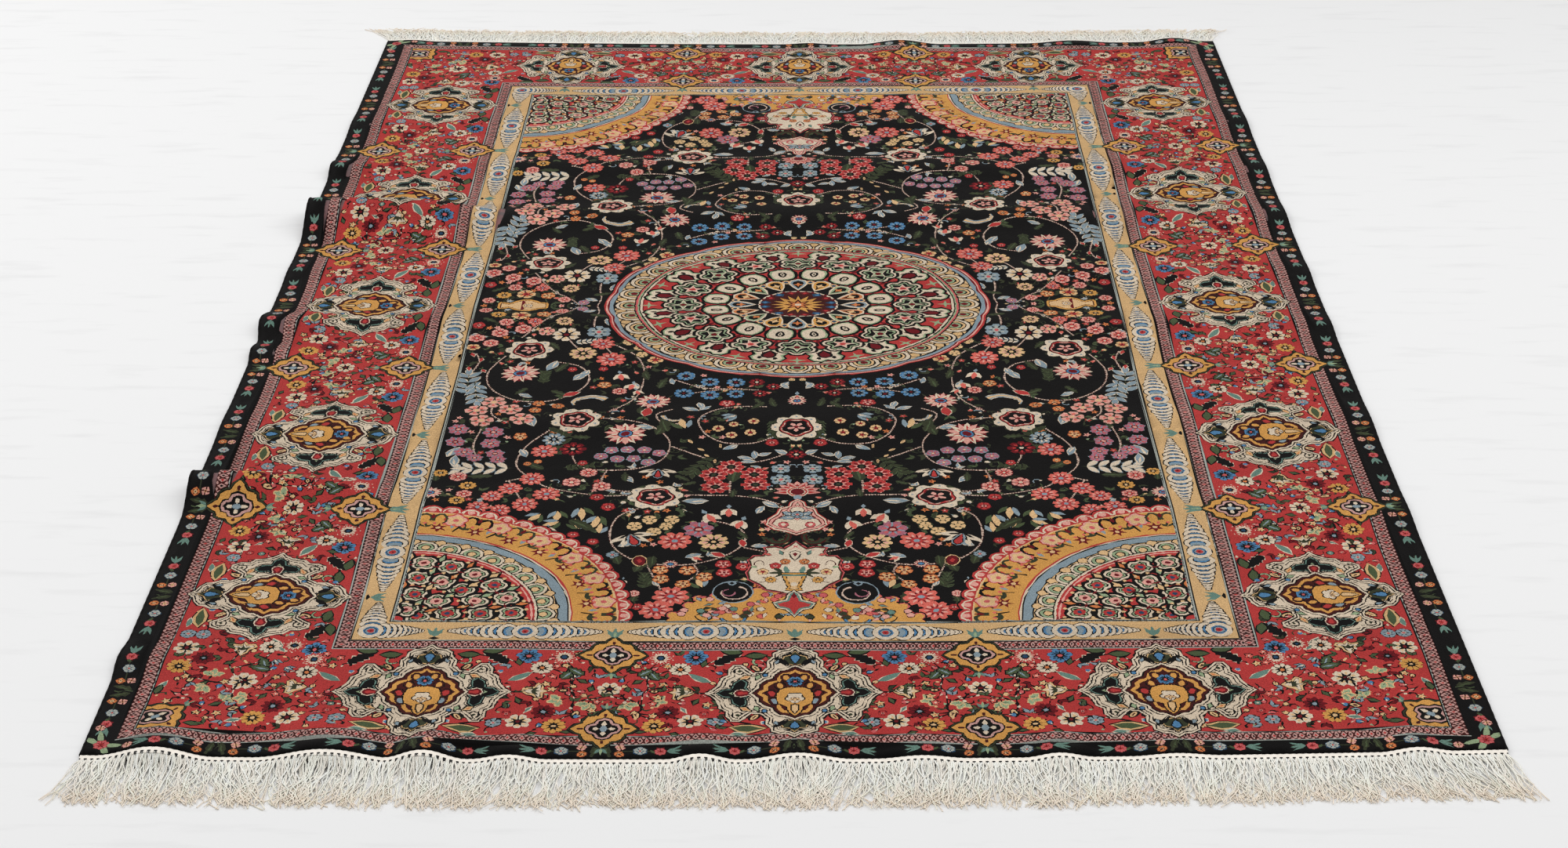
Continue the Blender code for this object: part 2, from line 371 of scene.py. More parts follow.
# Flowers: petals, depth of the notches, rim, petal, mark on each petal, ring of the heart, eye
FLOWER_FIELDS = ("petals", "depth", "rim", "petal", "mark", "heart", "eye")
FLOWER_TABLE = {
    "ivory_daisy": (9, 0.20, "black", "ivory", "ivory", "black", "orange"),
    "yellow_daisy": (9, 0.24, "black", "yellow", "yellow", "black", "cream"),
    "red_daisy": (10, 0.24, "ivory", "red", "ivory", "black", "deep_blue"),
    "blue_flower": (7, 0.22, "black", "blue", "deep_blue", "black", "rose"),
    "white_flower": (7, 0.26, "black", "ivory", "cream", "black", "dark_red"),
    "dark_flower": (9, 0.26, "black", "dark_red", "dark_red", "black", "blue_grey"),
    "carnation": (8, 0.22, "pink", "red", "dark_red", "black", "olive"),
    "coral_flower": (9, 0.42, "dark_red", "coral", "pink", "red", "blue_grey"),
    "pink_flower": (6, 0.28, "dark_red", "pink", "coral", "red", "ivory"),
    "mauve_flower": (7, 0.24, "blue_grey", "mauve", "rose", "dark_red", "pink"),
    "small_mauve": (5, 0.26, "blue_grey", "mauve", "mauve", "red", "ivory"),
    "cream_flower": (5, 0.34, "brown_red", "cream", "orange", "red", "dark_red"),
    "orange_flower": (5, 0.36, "brown_red", "orange", "cream", "cream", "dark_red"),
    "small_red": (5, 0.28, "dark_red", "red", "pink", "pink", "dark_red"),
    "dark_red_flower": (8, 0.20, "black", "dark_red", "red", "black", "ivory"),
    "grey_flower": (6, 0.28, "black", "blue_grey", "grey", "grey", "rose"),
    "grey_daisy": (9, 0.22, "black", "blue_grey", "ivory", "black", "blue_grey"),
    "sky_flower": (8, 0.22, "black", "blue", "blue_grey", "black", "dark_red"),
    "cream_daisy": (9, 0.26, "olive", "cream", "pink", "black", "cream"),
    "cream_dot": (5, 0.16, "olive", "cream", "cream", "cream", "beige"),
    "tea_rose": (5, 0.22, "olive", "pink", "coral", "pink", "cream"),
    "guard_rose": (7, 0.26, "dark_red", "rose", "pink", "red", "dark_red"),
    "guard_star": (6, 0.34, "deep_blue", "grey", "blue_grey", "grey", "red"),
    "guard_orange": (4, 0.36, "brown_red", "orange", "cream", "cream", "brown_red"),
    "guard_pink": (4, 0.36, "brown_red", "pink", "coral", "cream", "dark_red"),
}
FLOWERS = {name: dict(zip(FLOWER_FIELDS, row)) for name, row in FLOWER_TABLE.items()}
RIM = 2.0
MARKED = 12.0


def flower(art, place, radius, kind):
    """Separate petals on a rim that shows between them, and a ringed heart."""
    look = FLOWERS[kind]
    petals, depth = look["petals"], look["depth"]
    art.paint(place, lobed(radius, petals, depth, 2 if petals > 6 else 3), look["rim"])
    width = 2.2 * radius * math.sin(math.pi / petals) * 0.62
    for i in range(petals):
        spoke = placed(turn=360.0 * i / petals, within=place)
        art.paint(spoke, petal(radius * 0.74 - RIM, width) + (0, radius * 0.26), look["petal"])
        if look["mark"] != look["petal"] and radius > MARKED:
            art.paint(spoke, oval(width * 0.2, radius * 0.2, 4) + (0, radius * 0.52), look["mark"])
    art.paint(place, oval(radius * 0.34, corners=8 if radius > MARKED else 6), look["heart"])
    art.paint(place, oval(radius * 0.19, corners=6), look["eye"])


# Bands around the field, each from its inset at the long edge and at the end, to the next one
BAND_FIELDS = ("long_edge", "end", "ink")
BAND_TABLE = (
    (0.0, 0.0, "black"),
    (38.0, 28.0, "grey"),
    (39.5, 29.5, "black"),
    (41.0, 30.8, "brown_red"),
    (58.5, 46.5, "black"),
    (60.0, 48.0, "grey"),
    (61.2, 49.0, "black"),
    (62.5, 50.0, "red"),
    (280.0, 253.0, "black"),
    (281.5, 254.5, "grey"),
    (283.0, 256.0, "black"),
    (284.5, 257.5, "brown_red"),
    (301.0, 274.0, "black"),
    (302.5, 275.5, "grey"),
    (304.0, 277.0, "black"),
    (305.5, 278.5, "beige"),
    (351.5, 323.5, "black"),
    (353.0, 325.0, "grey"),
    (354.5, 326.5, "black"),
    (356.0, 328.0, "grey"),
)
BANDS = [dict(zip(BAND_FIELDS, row)) for row in BAND_TABLE]
BAND_END = {"long_edge": 357.0, "end": 329.0}
BORDER_MIDDLE_SIDE = 170.0
BORDER_MIDDLE_END = 150.0
GUARD_MIDDLE_SIDE = 328.5
GUARD_MIDDLE_END = 301.0
OUTER_LATTICE = (49.7, 38.6)
INNER_LATTICE = (292.7, 265.7)
SIDE_AXIS = 245.0
END_AXIS = 248.0
FIELD_X = HALF_WIDTH - BAND_END["long_edge"]
FIELD_Y = HALF_LENGTH - BAND_END["end"]


def on_side(inset, along, ahead=1):
    """Local X runs along the long edge and local Y out to it."""
    return np.array([[0.0, 1.0, HALF_WIDTH - inset], [ahead, 0.0, along], [0.0, 0.0, 1.0]])


def on_end(inset, along, ahead=1):
    """Local X runs along the end and local Y out to it."""
    return np.array([[ahead, 0.0, along], [0.0, 1.0, HALF_LENGTH - inset], [0.0, 0.0, 1.0]])


def block(x, y, width, height):
    return np.array([(x, y), (x + width, y), (x + width, y + height), (x, y + height)], float)


MAIN_BAND = [band["ink"] for band in BANDS].index("red")
OVERLAP = 20.0


def band(art, number):
    """One band of the frame, as an angle round the quarter's corner."""
    outer, inner = BANDS[number], (BANDS + [BAND_END])[number + 1]
    x, y = HALF_WIDTH - outer["long_edge"], HALF_LENGTH - outer["end"]
    if number == 0:
        x, y = x + OVERLAP, y + OVERLAP
    inner_x, inner_y = HALF_WIDTH - inner["long_edge"], HALF_LENGTH - inner["end"]
    corners = [(x, -OVERLAP), (x, y), (-OVERLAP, y), (-OVERLAP, inner_y), (inner_x, inner_y),
               (inner_x, -OVERLAP)]
    art.paint(placed(), corners, outer["ink"])


DIAMOND_PITCH = 9.0
DIAMOND_WIDE = 3.6
DIAMOND_TALL = 7.0


def lattice_run(art, place, length):
    """Pale lozenges with a dark heart on a dark band."""
    count = round(length / DIAMOND_PITCH)
    step = length / count
    for i in range(count + 1):
        here = placed(i * step, 0, within=place)
        art.paint(here, oval(DIAMOND_WIDE, DIAMOND_TALL, 4), "lattice")
        art.paint(here, oval(1.7, 3.4, 4), "red" if i % 2 else "black")
        between = placed((i + 0.5) * step, 0, within=place)
        for side in (1, -1):
            art.paint(placed(0, 6.6 * side, within=between), oval(2.6, 2.6, 4), "lattice")


def lattices(art):
    for side, end in (OUTER_LATTICE, INNER_LATTICE):
        lattice_run(art, on_side(side, 0), HALF_LENGTH - end)
        lattice_run(art, on_end(end, 0), HALF_WIDTH - side - DIAMOND_PITCH)


def cross_outline(quarter):
    """A closed outline with two mirror lines, from the quarter between +Y and +X."""
    quarter = np.asarray(quarter, float)
    right = np.concatenate([quarter, (quarter[::-1] * (1, -1))[1:]])
    left = (right[::-1] * (-1, 1))[1:-1]
    return np.concatenate([right, left])


CARTOUCHE = (
    (0, 116), (9, 107), (20, 104), (30, 96), (31, 86), (38, 76), (37, 62), (45, 51), (57, 49),
    (64, 58), (72, 69), (83, 68), (90, 56), (90, 44), (99, 37), (103, 20), (110, 9), (120, 0),
)
OGEE = (
    (0, 60), (8, 53), (18, 50), (25, 42), (27, 33), (37, 28), (44, 20), (45, 11), (54, 0),
)
YELLOW_OGEE = (
    (0, 46), (8, 38), (12, 31), (22, 29), (28, 22), (30, 13), (38, 9), (46, 0),
)
LOBE = (
    (104, 0), (96, 9), (85, 11), (82, 25), (72, 34), (63, 27), (65, 13), (57, 0),
)
BELL = (
    (0, 57), (8, 46), (11, 31), (22, 26), (25, 8), (21, -7), (10, -13), (0, -13),
)
SIDE_LOBE = ((0, 103), (7, 93), (17, 88), (18, 76), (10, 68), (0, 64))


def flipped(half):
    """A closed outline from the half above the X axis."""
    half = np.asarray(half, float)
    return np.concatenate([half, (half[::-1] * (1, -1))[1:-1]])


def rose(art, place, radius):
    """An open rose: pale petals ringed by dark wavy lines."""
    for share, ink in ((1.0, "brown_red"), (0.92, "cream"), (0.68, "brown_red"), (0.6, "ivory"),
                       (0.38, "brown_red"), (0.3, "cream")):
        art.paint(place, lobed(radius * share, 6, 0.1, 3, 90 + 40 * share), ink)


def medallion_arm(art, place):
    """What points along the border inside the big medallion, to one side."""
    layers(art, place, flipped(LOBE), (4.6, "black"), (3.0, "ivory"), (1.9, "black"), (-0.6, "teal"),
           (-2.2, "black"))
    layers(art, placed(88, 0, 90, within=place), drop(24, 13), (0, "pale_green"), (-3.0, "ivory"))
    layers(art, placed(54, 0, -90, within=place), drop(27, 17), (2.6, "black"), (1.2, "ivory"),
           (-0.6, "dark_red"), (-4.4, "red"))
    for up in (1, -1):
        curl = placed(75, 53 * up, within=place)
        art.paint(curl, ribbon(arc(0, 0, 7.5, 7.5, -160 * up, 130 * up, 10), 2.6, 1.2), "black")
        art.paint(curl, oval(2.6, corners=6), "olive")
        scroll = placed(66, 38 * up, 60 * up, within=place)
        layers(art, scroll, leaf(18, 9) - (0, 8), (2.5, "black"), (0, "cream"), (-3.0, "orange"))
        scroll = placed(50, 38 * up, 20 * up, within=place)
        layers(art, scroll, leaf(14, 7) - (0, 7), (2.3, "black"), (0, "pale_green"))
        art.paint(placed(42, 47 * up, within=place), ribbon([(-6, -3), (0, 3), (8, -2)], 1.8), "black")
        art.paint(placed(40, 43 * up, within=place), oval(5, corners=8), "black")
        art.paint(placed(40, 43 * up, within=place), oval(3.2, corners=8), "blue")


def medallion_tip(art, place):
    """What points across the border inside the big medallion, to one side."""
    outline = cross_outline(SIDE_LOBE)[:len(SIDE_LOBE)]
    lobe = mirrored([tuple(point) for point in outline])
    layers(art, place, lobe, (4.0, "black"), (2.4, "ivory"), (1.5, "black"), (-0.8, "beige"),
           (-2.4, "olive"))
    for lean in (1, -1):
        art.paint(placed(8 * lean, 66, -38 * lean, within=place), leaf(24, 8), "black")
        art.paint(placed(22 * lean, 88, -150 * lean, within=place), leaf(12, 5), "black")
        layers(art, placed(26 * lean, 70, 20 * lean, within=place), leaf(11, 6), (2.1, "black"),
               (0, "blue_grey"))
    layers(art, placed(0, 72, within=place), drop(20, 12), (2.1, "black"), (0, "blue"))
    art.paint(placed(0, 61, within=place), oval(6, 9, 4), "dark_red")


def medallion_heart(art, place):
    """The yellow middle of the big medallion with its bell and its blue flower."""
    layers(art, place, cross_outline(OGEE), (9.0, "black"), (7.2, "ivory"), (3.6, "black"),
           (1.8, "brown_red"), (-3.2, "yellow"), (-9.0, "brown_red"))
    for a, b, ink in ((31, 2, "red"), (20, -17, "yellow"), (27, 20, "blue_grey"), (12, -36, "yellow")):
        for side in (1, -1):
            here = placed(a * side, b, 20 * side, within=place)
            layers(art, here, oval(7, 9, 8), (1.7, "black"), (0, "brown_red"), (-2.6, ink))
    layers(art, place, mirrored(BELL), (2.0, "black"), (0, "yellow"))
    layers(art, placed(0, 12, within=place), lobed(14, 5, 0.2, 4), (0, "black"), (-1.8, "ivory"))
    for lean in (-52, 0, 52):
        petal_place = placed(0, 12, lean, within=place)
        layers(art, petal_place, leaf(13, 6) - (0, 1), (0.6, "brown_red"), (-0.8, "cream"))
    layers(art, placed(0, 52, 180, within=place), drop(25, 10), (1.9, "black"), (-0.4, "cream"))
    flower(art, placed(0, -27, within=place), 13, "blue_flower")


def big_medallion(art, place):
    """The ivory cartouche of the main border with its yellow heart."""
    layers(art, place, cross_outline(CARTOUCHE), (2.0, "black"), (0, "ivory"), (-3.0, "black"),
           (-5.0, "ivory"), (-8.4, "black"), (-10.0, "ivory"))
    for ahead in (1, -1):
        medallion_arm(art, placed(wide=ahead, within=place))
    for up in (1, -1):
        medallion_tip(art, place @ np.diag([1.0, up, 1.0]))
    medallion_heart(art, place)


def yellow_medallion(art, place):
    outline = cross_outline(YELLOW_OGEE)
    layers(art, place, outline, (3.0, "black"), (1.4, "olive"), (-0.6, "black"), (-2.4, "yellow"))
    for a, b in ((31, 0), (-31, 0), (0, 31), (0, -31)):
        art.paint(placed(a, b, within=place), oval(4.5, 2.6, 6) if a else oval(2.6, 4.5, 6), "brown_red")
    inner = lobed(24, 4, 0.28, 4)
    layers(art, place, inner, (2.5, "black"), (0, "lattice"), (-4.0, "black"))
    for turn in (0, 90, 180, 270):
        art.paint(placed(turn=turn, within=place), drop(15, 7), "ivory")
    art.paint(place, lobed(9, 4, 0.4, 4, 45), "black")
    art.paint(place, oval(5, 7, 8), "blue_grey")
    art.paint(placed(0, -13, within=place), oval(2, 5, 6), "ivory")
    for up in (1, -1):
        half = placed(0, 44 * up, 90 - 90 * up, within=place)
        for lean in (-1, 1):
            art.paint(placed(turn=35 * lean, within=half), leaf(15, 6), "teal")
        art.paint(half, leaf(17, 5), "pale_green")


def lily(art, place, size):
    outline = mirrored([
        (0, size), (size * 0.2, size * 0.62), (size * 0.72, size * 0.7), (size * 0.9, size * 0.3),
        (size * 0.45, 0), (size * 0.38, -size * 0.35), (0, -size * 0.75),
    ])
    layers(art, place, outline, (2.1, "black"), (0, "cream"), (-3.2, "black"), (-4.3, "ivory"))
    for lean in (-42, 0, 42):
        art.paint(placed(0, -size * 0.1, lean, within=place), leaf(size * 0.62, 6), "olive")


def leaf_cluster(art, place, size):
    for turn in (-64, 0, 64):
        petal = placed(turn=turn, within=place)
        layers(art, petal, jagged(size, size * 0.66, 3), (1.8, "cream"), (0, "pale_green"))
        art.paint(petal, leaf(size * 0.7, size * 0.12), "green")
    art.paint(placed(turn=180, within=place), leaf(size * 0.8, size * 0.16), "black")


def dark_leaf(art, place, size):
    layers(art, place, jagged(size, size * 0.56), (2.0, "black"), (0, "green"))
    art.paint(place, leaf(size * 0.8, 2.6), "blue_grey")


def black_leaf(art, place, size):
    layers(art, place, jagged(size, size * 0.5, 5, size * 0.2), (1.0, "ivory"), (0, "black"))


def green_leaf(art, place, size):
    layers(art, place, leaf(size, size * 0.44, size * 0.1), (2.6, "black"), (0, "green"))


def teal_leaf(art, place, size):
    layers(art, place, leaf(size, size * 0.3, size * 0.15), (1.6, "ivory"), (0, "teal"))


def autumn_leaf(art, place, size):
    outline = leaf(size, size * 0.4, -size * 0.1)
    layers(art, place, outline, (1.9, "black"), (0, "beige"), (-3.5, "green"))


def spindle_seed(art, place, size):
    layers(art, place, oval(size * 0.5, size, 8), (2.6, "black"), (0, "cream"))
    art.paint(place, oval(size * 0.16, size * 0.5, 6), "brown_red")


def ringed_dot(art, place, size):
    layers(art, place, oval(size, corners=8), (1.9, "black"), (0, "teal"))
    art.paint(place, oval(size * 0.4, corners=6), "ivory")


def blue_dot(art, place, size):
    layers(art, place, oval(size, corners=8), (1.0, "ivory"), (0, "blue"))


def tulip(art, place, size):
    for lean in (-30, 30, 0):
        petal = placed(turn=lean, within=place)
        layers(art, petal, leaf(size, size * 0.4), (1.7, "black"), (0, "blue_grey"))
    art.paint(place, leaf(size * 0.6, size * 0.2), "ivory")


def c_curl(art, place, size):
    path = arc(0, 0, size, size, -120, 150, 12)
    art.paint(place, ribbon(path, 6.4, 3.5), "black")
    art.paint(place, ribbon(path, 4.0, 1.5), "pale_green")


MOTIFS = {
    "leaf_cluster": leaf_cluster, "dark_leaf": dark_leaf, "black_leaf": black_leaf,
    "green_leaf": green_leaf, "teal_leaf": teal_leaf, "autumn_leaf": autumn_leaf,
    "seed": spindle_seed, "ringed_dot": ringed_dot, "blue_dot": blue_dot, "tulip": tulip,
    "c_curl": c_curl, "lily": lily,
}


def motif(art, place, kind, size):
    """Draws a piece and notes where it lies."""
    if kind in FLOWERS:
        flower(art, place, size, kind)
        art.taken.append((place[0, 2], place[1, 2], size))
    else:
        MOTIFS[kind](art, place, size)
        middle = placed(0, size / 2, within=place)
        art.taken.append((middle[0, 2], middle[1, 2], size / 2))


def listed(fields, table):
    """One piece for each place of a table whose rows are a kind and its places, in drawing order."""
    return [dict(zip(fields, (kind, *spot))) for kind, *spots in table for spot in spots]


# What fills the red ground between a big medallion and the next yellow pair. along: from the
# medallion's middle; out: from the border's middle line towards the rug's edge; turn in degrees.
FILLER_FIELDS = ("kind", "along", "out", "size", "turn")
FILLER_TABLE = (
    ("green_leaf", (218, -22, 17, 130), (222, -2, 15, 200)),
    ("leaf_cluster", (222, 27, 15, 20), (184, 18, 15, 70)), ("seed", (188, -4, 5, 90)),
    ("tulip", (200, -34, 17, 190), (192, -46, 15, 250)),
    ("dark_leaf", (184, -32, 30, 215), (212, -42, 26, 130)), ("lily", (148, -2, 21, -90)),
    ("ivory_daisy", (156, -58, 17, 0)), ("red_daisy", (184, -86, 19, 0)),
    ("blue_flower", (136, -87, 19, 0)), ("black_leaf", (108, -68, 44, 140)),
    ("green_leaf", (126, -64, 17, 170)), ("teal_leaf", (112, -26, 38, -115)),
    ("c_curl", (49, -76, 8, 0)), ("seed", (53, -60, 8, 40)),
    ("green_leaf", (38, -92, 30, -80), (72, -98, 30, -95)), ("ringed_dot", (33, -61, 5, 0)),
    ("blue_dot", (101, -49, 3, 0)), ("dark_flower", (166, 46, 17, 0)),
    ("green_leaf", (134, 28, 17, 160)), ("ringed_dot", (116, 32, 5, 0)),
    ("yellow_daisy", (182, 78, 18, 0)), ("white_flower", (135, 69, 19, 0)),
    ("grey_flower", (103, 71, 12, 0)), ("autumn_leaf", (86, 82, 50, 80)), ("seed", (53, 58, 8, -40)),
    ("blue_dot", (40, 72, 4, 0)), ("ringed_dot", (36, 60, 4, 0)), ("teal_leaf", (150, 34, 16, 40)),
    ("seed", (208, 52, 8, 10)), ("small_red", (118, 50, 7, 0), (120, 6, 6, 0)),
    ("teal_leaf", (84, 98, 22, 100)), ("green_leaf", (206, 92, 14, 100), (160, 95, 14, 70)),
)
FILLERS = listed(FILLER_FIELDS, FILLER_TABLE)

# Thin lines on the red ground, as points along and out, like the fillers
BORDER_VINES = (
    ((245, 8), (232, 14), (214, 20), (202, 34), (206, 50)),
    ((202, 34), (203, 10), (197, -10), (200, -30)),
    ((197, -10), (180, -12), (168, -8)),
    ((206, 50), (190, 62), (182, 70)),
    ((206, 50), (180, 52), (160, 58), (140, 66)),
    ((200, -30), (180, -50), (160, -60)),
    ((200, -30), (196, -60), (184, -80)),
    ((156, -58), (140, -70), (120, -72), (96, -86), (60, -88), (40, -74)),
    ((135, 69), (112, 62), (96, 64), (70, 70), (50, 78)),
    ((120, 0), (128, 0), (136, -2)),
)
CORNER_FROM = 118.0


def border_vine(art, place, points):
    path = smooth(points, 4, closed=False)
    art.paint(place, ribbon(path, 3.0), "black")
    for start in range(0, len(path) - 2, 3):
        art.paint(place, ribbon(path[start:start + 2], 1.2), "ivory")


def half_period(art, place, reach):
    """Everything between a medallion and reach along the border."""
    for points in BORDER_VINES:
        if max(point[0] for point in points) <= reach:
            border_vine(art, place, points)
    for row in FILLERS:
        if row["along"] <= reach:
            here = placed(row["along"], row["out"], row["turn"], within=place)
            motif(art, here, row["kind"], row["size"])


# The corner of the main border, as distances from the long edge and from the end; each but the
# first two is drawn again across the diagonal
CORNER_FIELDS = ("kind", "from_side", "from_end", "size", "turn")
CORNER_TABLE = (
    ("white_flower", (176, 172, 22, 45)), ("blue_flower", (258, 252, 19, 0)),
    ("red_daisy", (228, 262, 18, 0)), ("ivory_daisy", (196, 258, 17, 0)),
    ("dark_flower", (112, 228, 17, 0)), ("white_flower", (84, 252, 19, 0)),
    ("yellow_daisy", (84, 206, 18, 0)), ("lily", (160, 250, 20, 0)),
    ("leaf_cluster", (132, 186, 15, 10), (158, 128, 15, 50)), ("dark_leaf", (200, 205, 28, -20)),
    ("green_leaf", (142, 214, 16, 60)), ("seed", (106, 176, 7, 20)), ("tulip", (208, 226, 15, 150)),
    ("grey_flower", (78, 288, 12, 0)), ("green_leaf", (120, 158, 18, 30)),
    ("teal_leaf", (76, 170, 22, 200)), ("small_red", (130, 142, 7, 0)),
    ("green_leaf", (66, 140, 20, 10)),
)
CORNER_PIECES = listed(CORNER_FIELDS, CORNER_TABLE)
CORNER_SINGLES = 2
CORNER_VINES = (
    ((176, 172), (160, 190), (150, 215), (158, 240)), ((176, 172), (140, 168), (110, 180)),
    ((110, 180), (92, 196), (100, 222)), ((160, 205), (190, 222), (200, 245)),
)
DIAGONAL_YELLOW = 80.0
YELLOW_REACH = 46.0


def corner(art):
    for crossed in (False, True):
        for points in CORNER_VINES:
            turned = [point[::-1] if crossed else point for point in points]
            path = [(HALF_WIDTH - x, HALF_LENGTH - y) for x, y in turned]
            border_vine(art, placed(), path)
        for row in CORNER_PIECES[CORNER_SINGLES if crossed else 0:]:
            x, y = row["from_side"], row["from_end"]
            x, y = (y, x) if crossed else (x, y)
            turn = 180 - row["turn"] if not crossed else -90 + row["turn"]
            here = placed(HALF_WIDTH - x, HALF_LENGTH - y, turn)
            motif(art, here, row["kind"], row["size"])
    here = placed(HALF_WIDTH - DIAGONAL_YELLOW, HALF_LENGTH - DIAGONAL_YELLOW, -45)
    yellow_medallion(art, here)
    art.taken.append((here[0, 2], here[1, 2], YELLOW_REACH))


WHOLE_REACH = 300.0
SPRIG_STEP = 15.0
SPRIG_CLEAR = 5.0
SPRIG_SEED = 5
SPRIG_JITTER = 0.2
PIECE_REACH = 0.8

# The red ground without its margins, as insets from the long edge and from the end
GROUND_OUTER = (70.0, 58.0)
GROUND_INNER = (272.0, 245.0)


def in_border(x, y):
    """True on the red ground."""
    side, end = HALF_WIDTH - x, HALF_LENGTH - y
    within = side > GROUND_OUTER[0] and end > GROUND_OUTER[1]
    return within and (side < GROUND_INNER[0] or end < GROUND_INNER[1])


def comma(art, place, inks):
    path = arc(0, 0, 6.5, 5.0, 150, 380, 5)
    art.paint(place, ribbon(path, 3.4, 1.2), inks[0])
    art.paint(placed(6, 1, within=place), oval(2.6, corners=5), inks[1])


def leaf_pair(art, place, inks):
    for turn, length in ((0, 15), (70, 12)):
        layers(art, placed(turn=turn, within=place), leaf(length, length * 0.4, 2), (1.5, inks[0]),
               (0, inks[1]))


def bud(art, place, inks):
    art.paint(placed(turn=180, within=place), leaf(11, 2.6, 3), inks[0])
    layers(art, place, petal(10, 7), (1.6, inks[0]), (0, inks[1]))
    art.paint(place, leaf(6, 2.4), inks[2])


def small_bloom(art, place, inks):
    art.paint(place, star(8.4, 5, 5.4), inks[0])
    art.paint(place, star(6.8, 5, 3.2), inks[1])
    art.paint(place, oval(1.8, corners=4), inks[2])


# What fills the ground between the drawn pieces: a shape and its silks
BORDER_SPRIGS = (
    (comma, ("black", "ivory")), (leaf_pair, ("black", "green")), (leaf_pair, ("black", "olive")),
    (bud, ("black", "cream", "dark_red")), (leaf_pair, ("black", "blue_grey")),
    (comma, ("black", "pale_green")), (small_bloom, ("black", "coral", "ivory")),
    (bud, ("black", "blue", "ivory")), (leaf_pair, ("black", "dark_red")),
    (small_bloom, ("black", "cream", "orange")), (comma, ("olive", "cream")),
    (bud, ("black", "rose", "ivory")),
)


def sprinkle(art, allowed, step, sprigs):
    """Puts a small sprig wherever the drawn pieces leave the ground open."""
    chance = random.Random(SPRIG_SEED)
    taken = np.array(art.taken)
    for row in range(int(HALF_LENGTH / step)):
        for column in range(int(HALF_WIDTH / step)):
            x = (column + 0.5 * (row % 2) + chance.uniform(-SPRIG_JITTER, SPRIG_JITTER)) * step
            y = (row + chance.uniform(-SPRIG_JITTER, SPRIG_JITTER)) * step
            turn = chance.uniform(0, 360)
            draw, inks = sprigs[chance.randrange(len(sprigs))]
            if not allowed(x, y):
                continue
            away = np.hypot(taken[:, 0] - x, taken[:, 1] - y) - taken[:, 2] * PIECE_REACH
            if away.min() > SPRIG_CLEAR:
                draw(art, placed(x, y, turn), inks)


def main_border(art):
    """Fillers, the corner and the sprigs of the main border; the medallions are drawn over them later."""
    for axis in (0, 2, 4):
        for ahead in (1, -1):
            reach = CORNER_FROM if axis == 4 and ahead > 0 else WHOLE_REACH
            half_period(art, on_side(BORDER_MIDDLE_SIDE, axis * SIDE_AXIS, ahead), reach)
    for axis in (0, 2):
        for ahead in (1, -1):
            reach = CORNER_FROM if axis == 2 and ahead > 0 else WHOLE_REACH
            half_period(art, on_end(BORDER_MIDDLE_END, axis * END_AXIS, ahead), reach)
    for axis in (1, 3):
        motif(art, on_side(BORDER_MIDDLE_SIDE - 8, axis * SIDE_AXIS), "white_flower", 18)
    motif(art, on_end(BORDER_MIDDLE_END + 8, END_AXIS), "white_flower", 18)
    corner(art)
    sprinkle(art, in_border, SPRIG_STEP, BORDER_SPRIGS)


YELLOW_OUT_SIDE = (76.0, 264.0)
YELLOW_OUT_END = (66.0, 242.0)


def medallions(art):
    for axis in (0, 2, 4):
        big_medallion(art, on_side(BORDER_MIDDLE_SIDE, axis * SIDE_AXIS))
    for axis in (0, 2):
        big_medallion(art, on_end(BORDER_MIDDLE_END, axis * END_AXIS))
    for axis in (1, 3):
        for inset in YELLOW_OUT_SIDE:
            yellow_medallion(art, on_side(inset, axis * SIDE_AXIS))
    for inset in YELLOW_OUT_END:
        yellow_medallion(art, on_end(inset, END_AXIS))


# A group on the black guard, from its axis outwards on both sides
GUARD_FIELDS = ("kind", "along", "out", "size", "turn")
GUARD_TABLE = (
    ("guard_orange", 24, 7, 8, 10), ("guard_pink", 25, -8, 8, 30), ("guard_star", 51, 0, 10, 0),
    ("guard_rose", 77, 1, 9.5, 0),
)
GUARD_PIECES = [dict(zip(GUARD_FIELDS, row)) for row in GUARD_TABLE]
GUARD_STEP_SIDE = 19.0
GUARD_STEP_END = 15.5


def guard_group(art, place, sides=(1, -1)):
    """Leaves on the axis, a pair of small flowers, a star flower, a rose and a leafy tip."""
    for ahead in sides:
        half = placed(wide=ahead, within=place)
        art.paint(half, ribbon([(20, 0), (50, 1), (80, 0), (104, 1)], 1.8), "olive")
        for turn in (-80, -62, -104):
            art.paint(placed(84, 0, turn, within=half), leaf(23, 4.6), "teal")
        art.paint(placed(64, -2, -40, within=half), leaf(12, 5), "green")
        for row in GUARD_PIECES:
            here = placed(row["along"], row["out"], row["turn"], within=half)
            motif(art, here, row["kind"], row["size"])
        art.paint(placed(5, -14, -14, within=half), jagged(28, 12, 3), "olive")
        art.paint(placed(4, -10, -20, within=half), leaf(20, 2.4), "green")
    art.paint(place, ribbon([(0, -16), (-2, -6), (2, 4), (0, 10)], 1.4), "green")


def black_guard(art):
    for axis in range(6):
        guard_group(art, on_side(GUARD_STEP_SIDE, axis * SIDE_AXIS))
    for axis in range(4):
        guard_group(art, on_end(GUARD_STEP_END, axis * END_AXIS))
    middle = placed(HALF_WIDTH - GUARD_STEP_SIDE - 3, HALF_LENGTH - GUARD_STEP_END - 5, -45)
    for turn in (-120, 120, -75, 75):
        art.paint(placed(turn=turn, within=middle), leaf(34, 9), "pale_green")
    for x, turn in ((-34, 90), (34, -90)):
        flower(art, placed(x, -20, turn, within=middle), 8, "guard_pink")
    flower(art, middle, 12, "guard_rose")


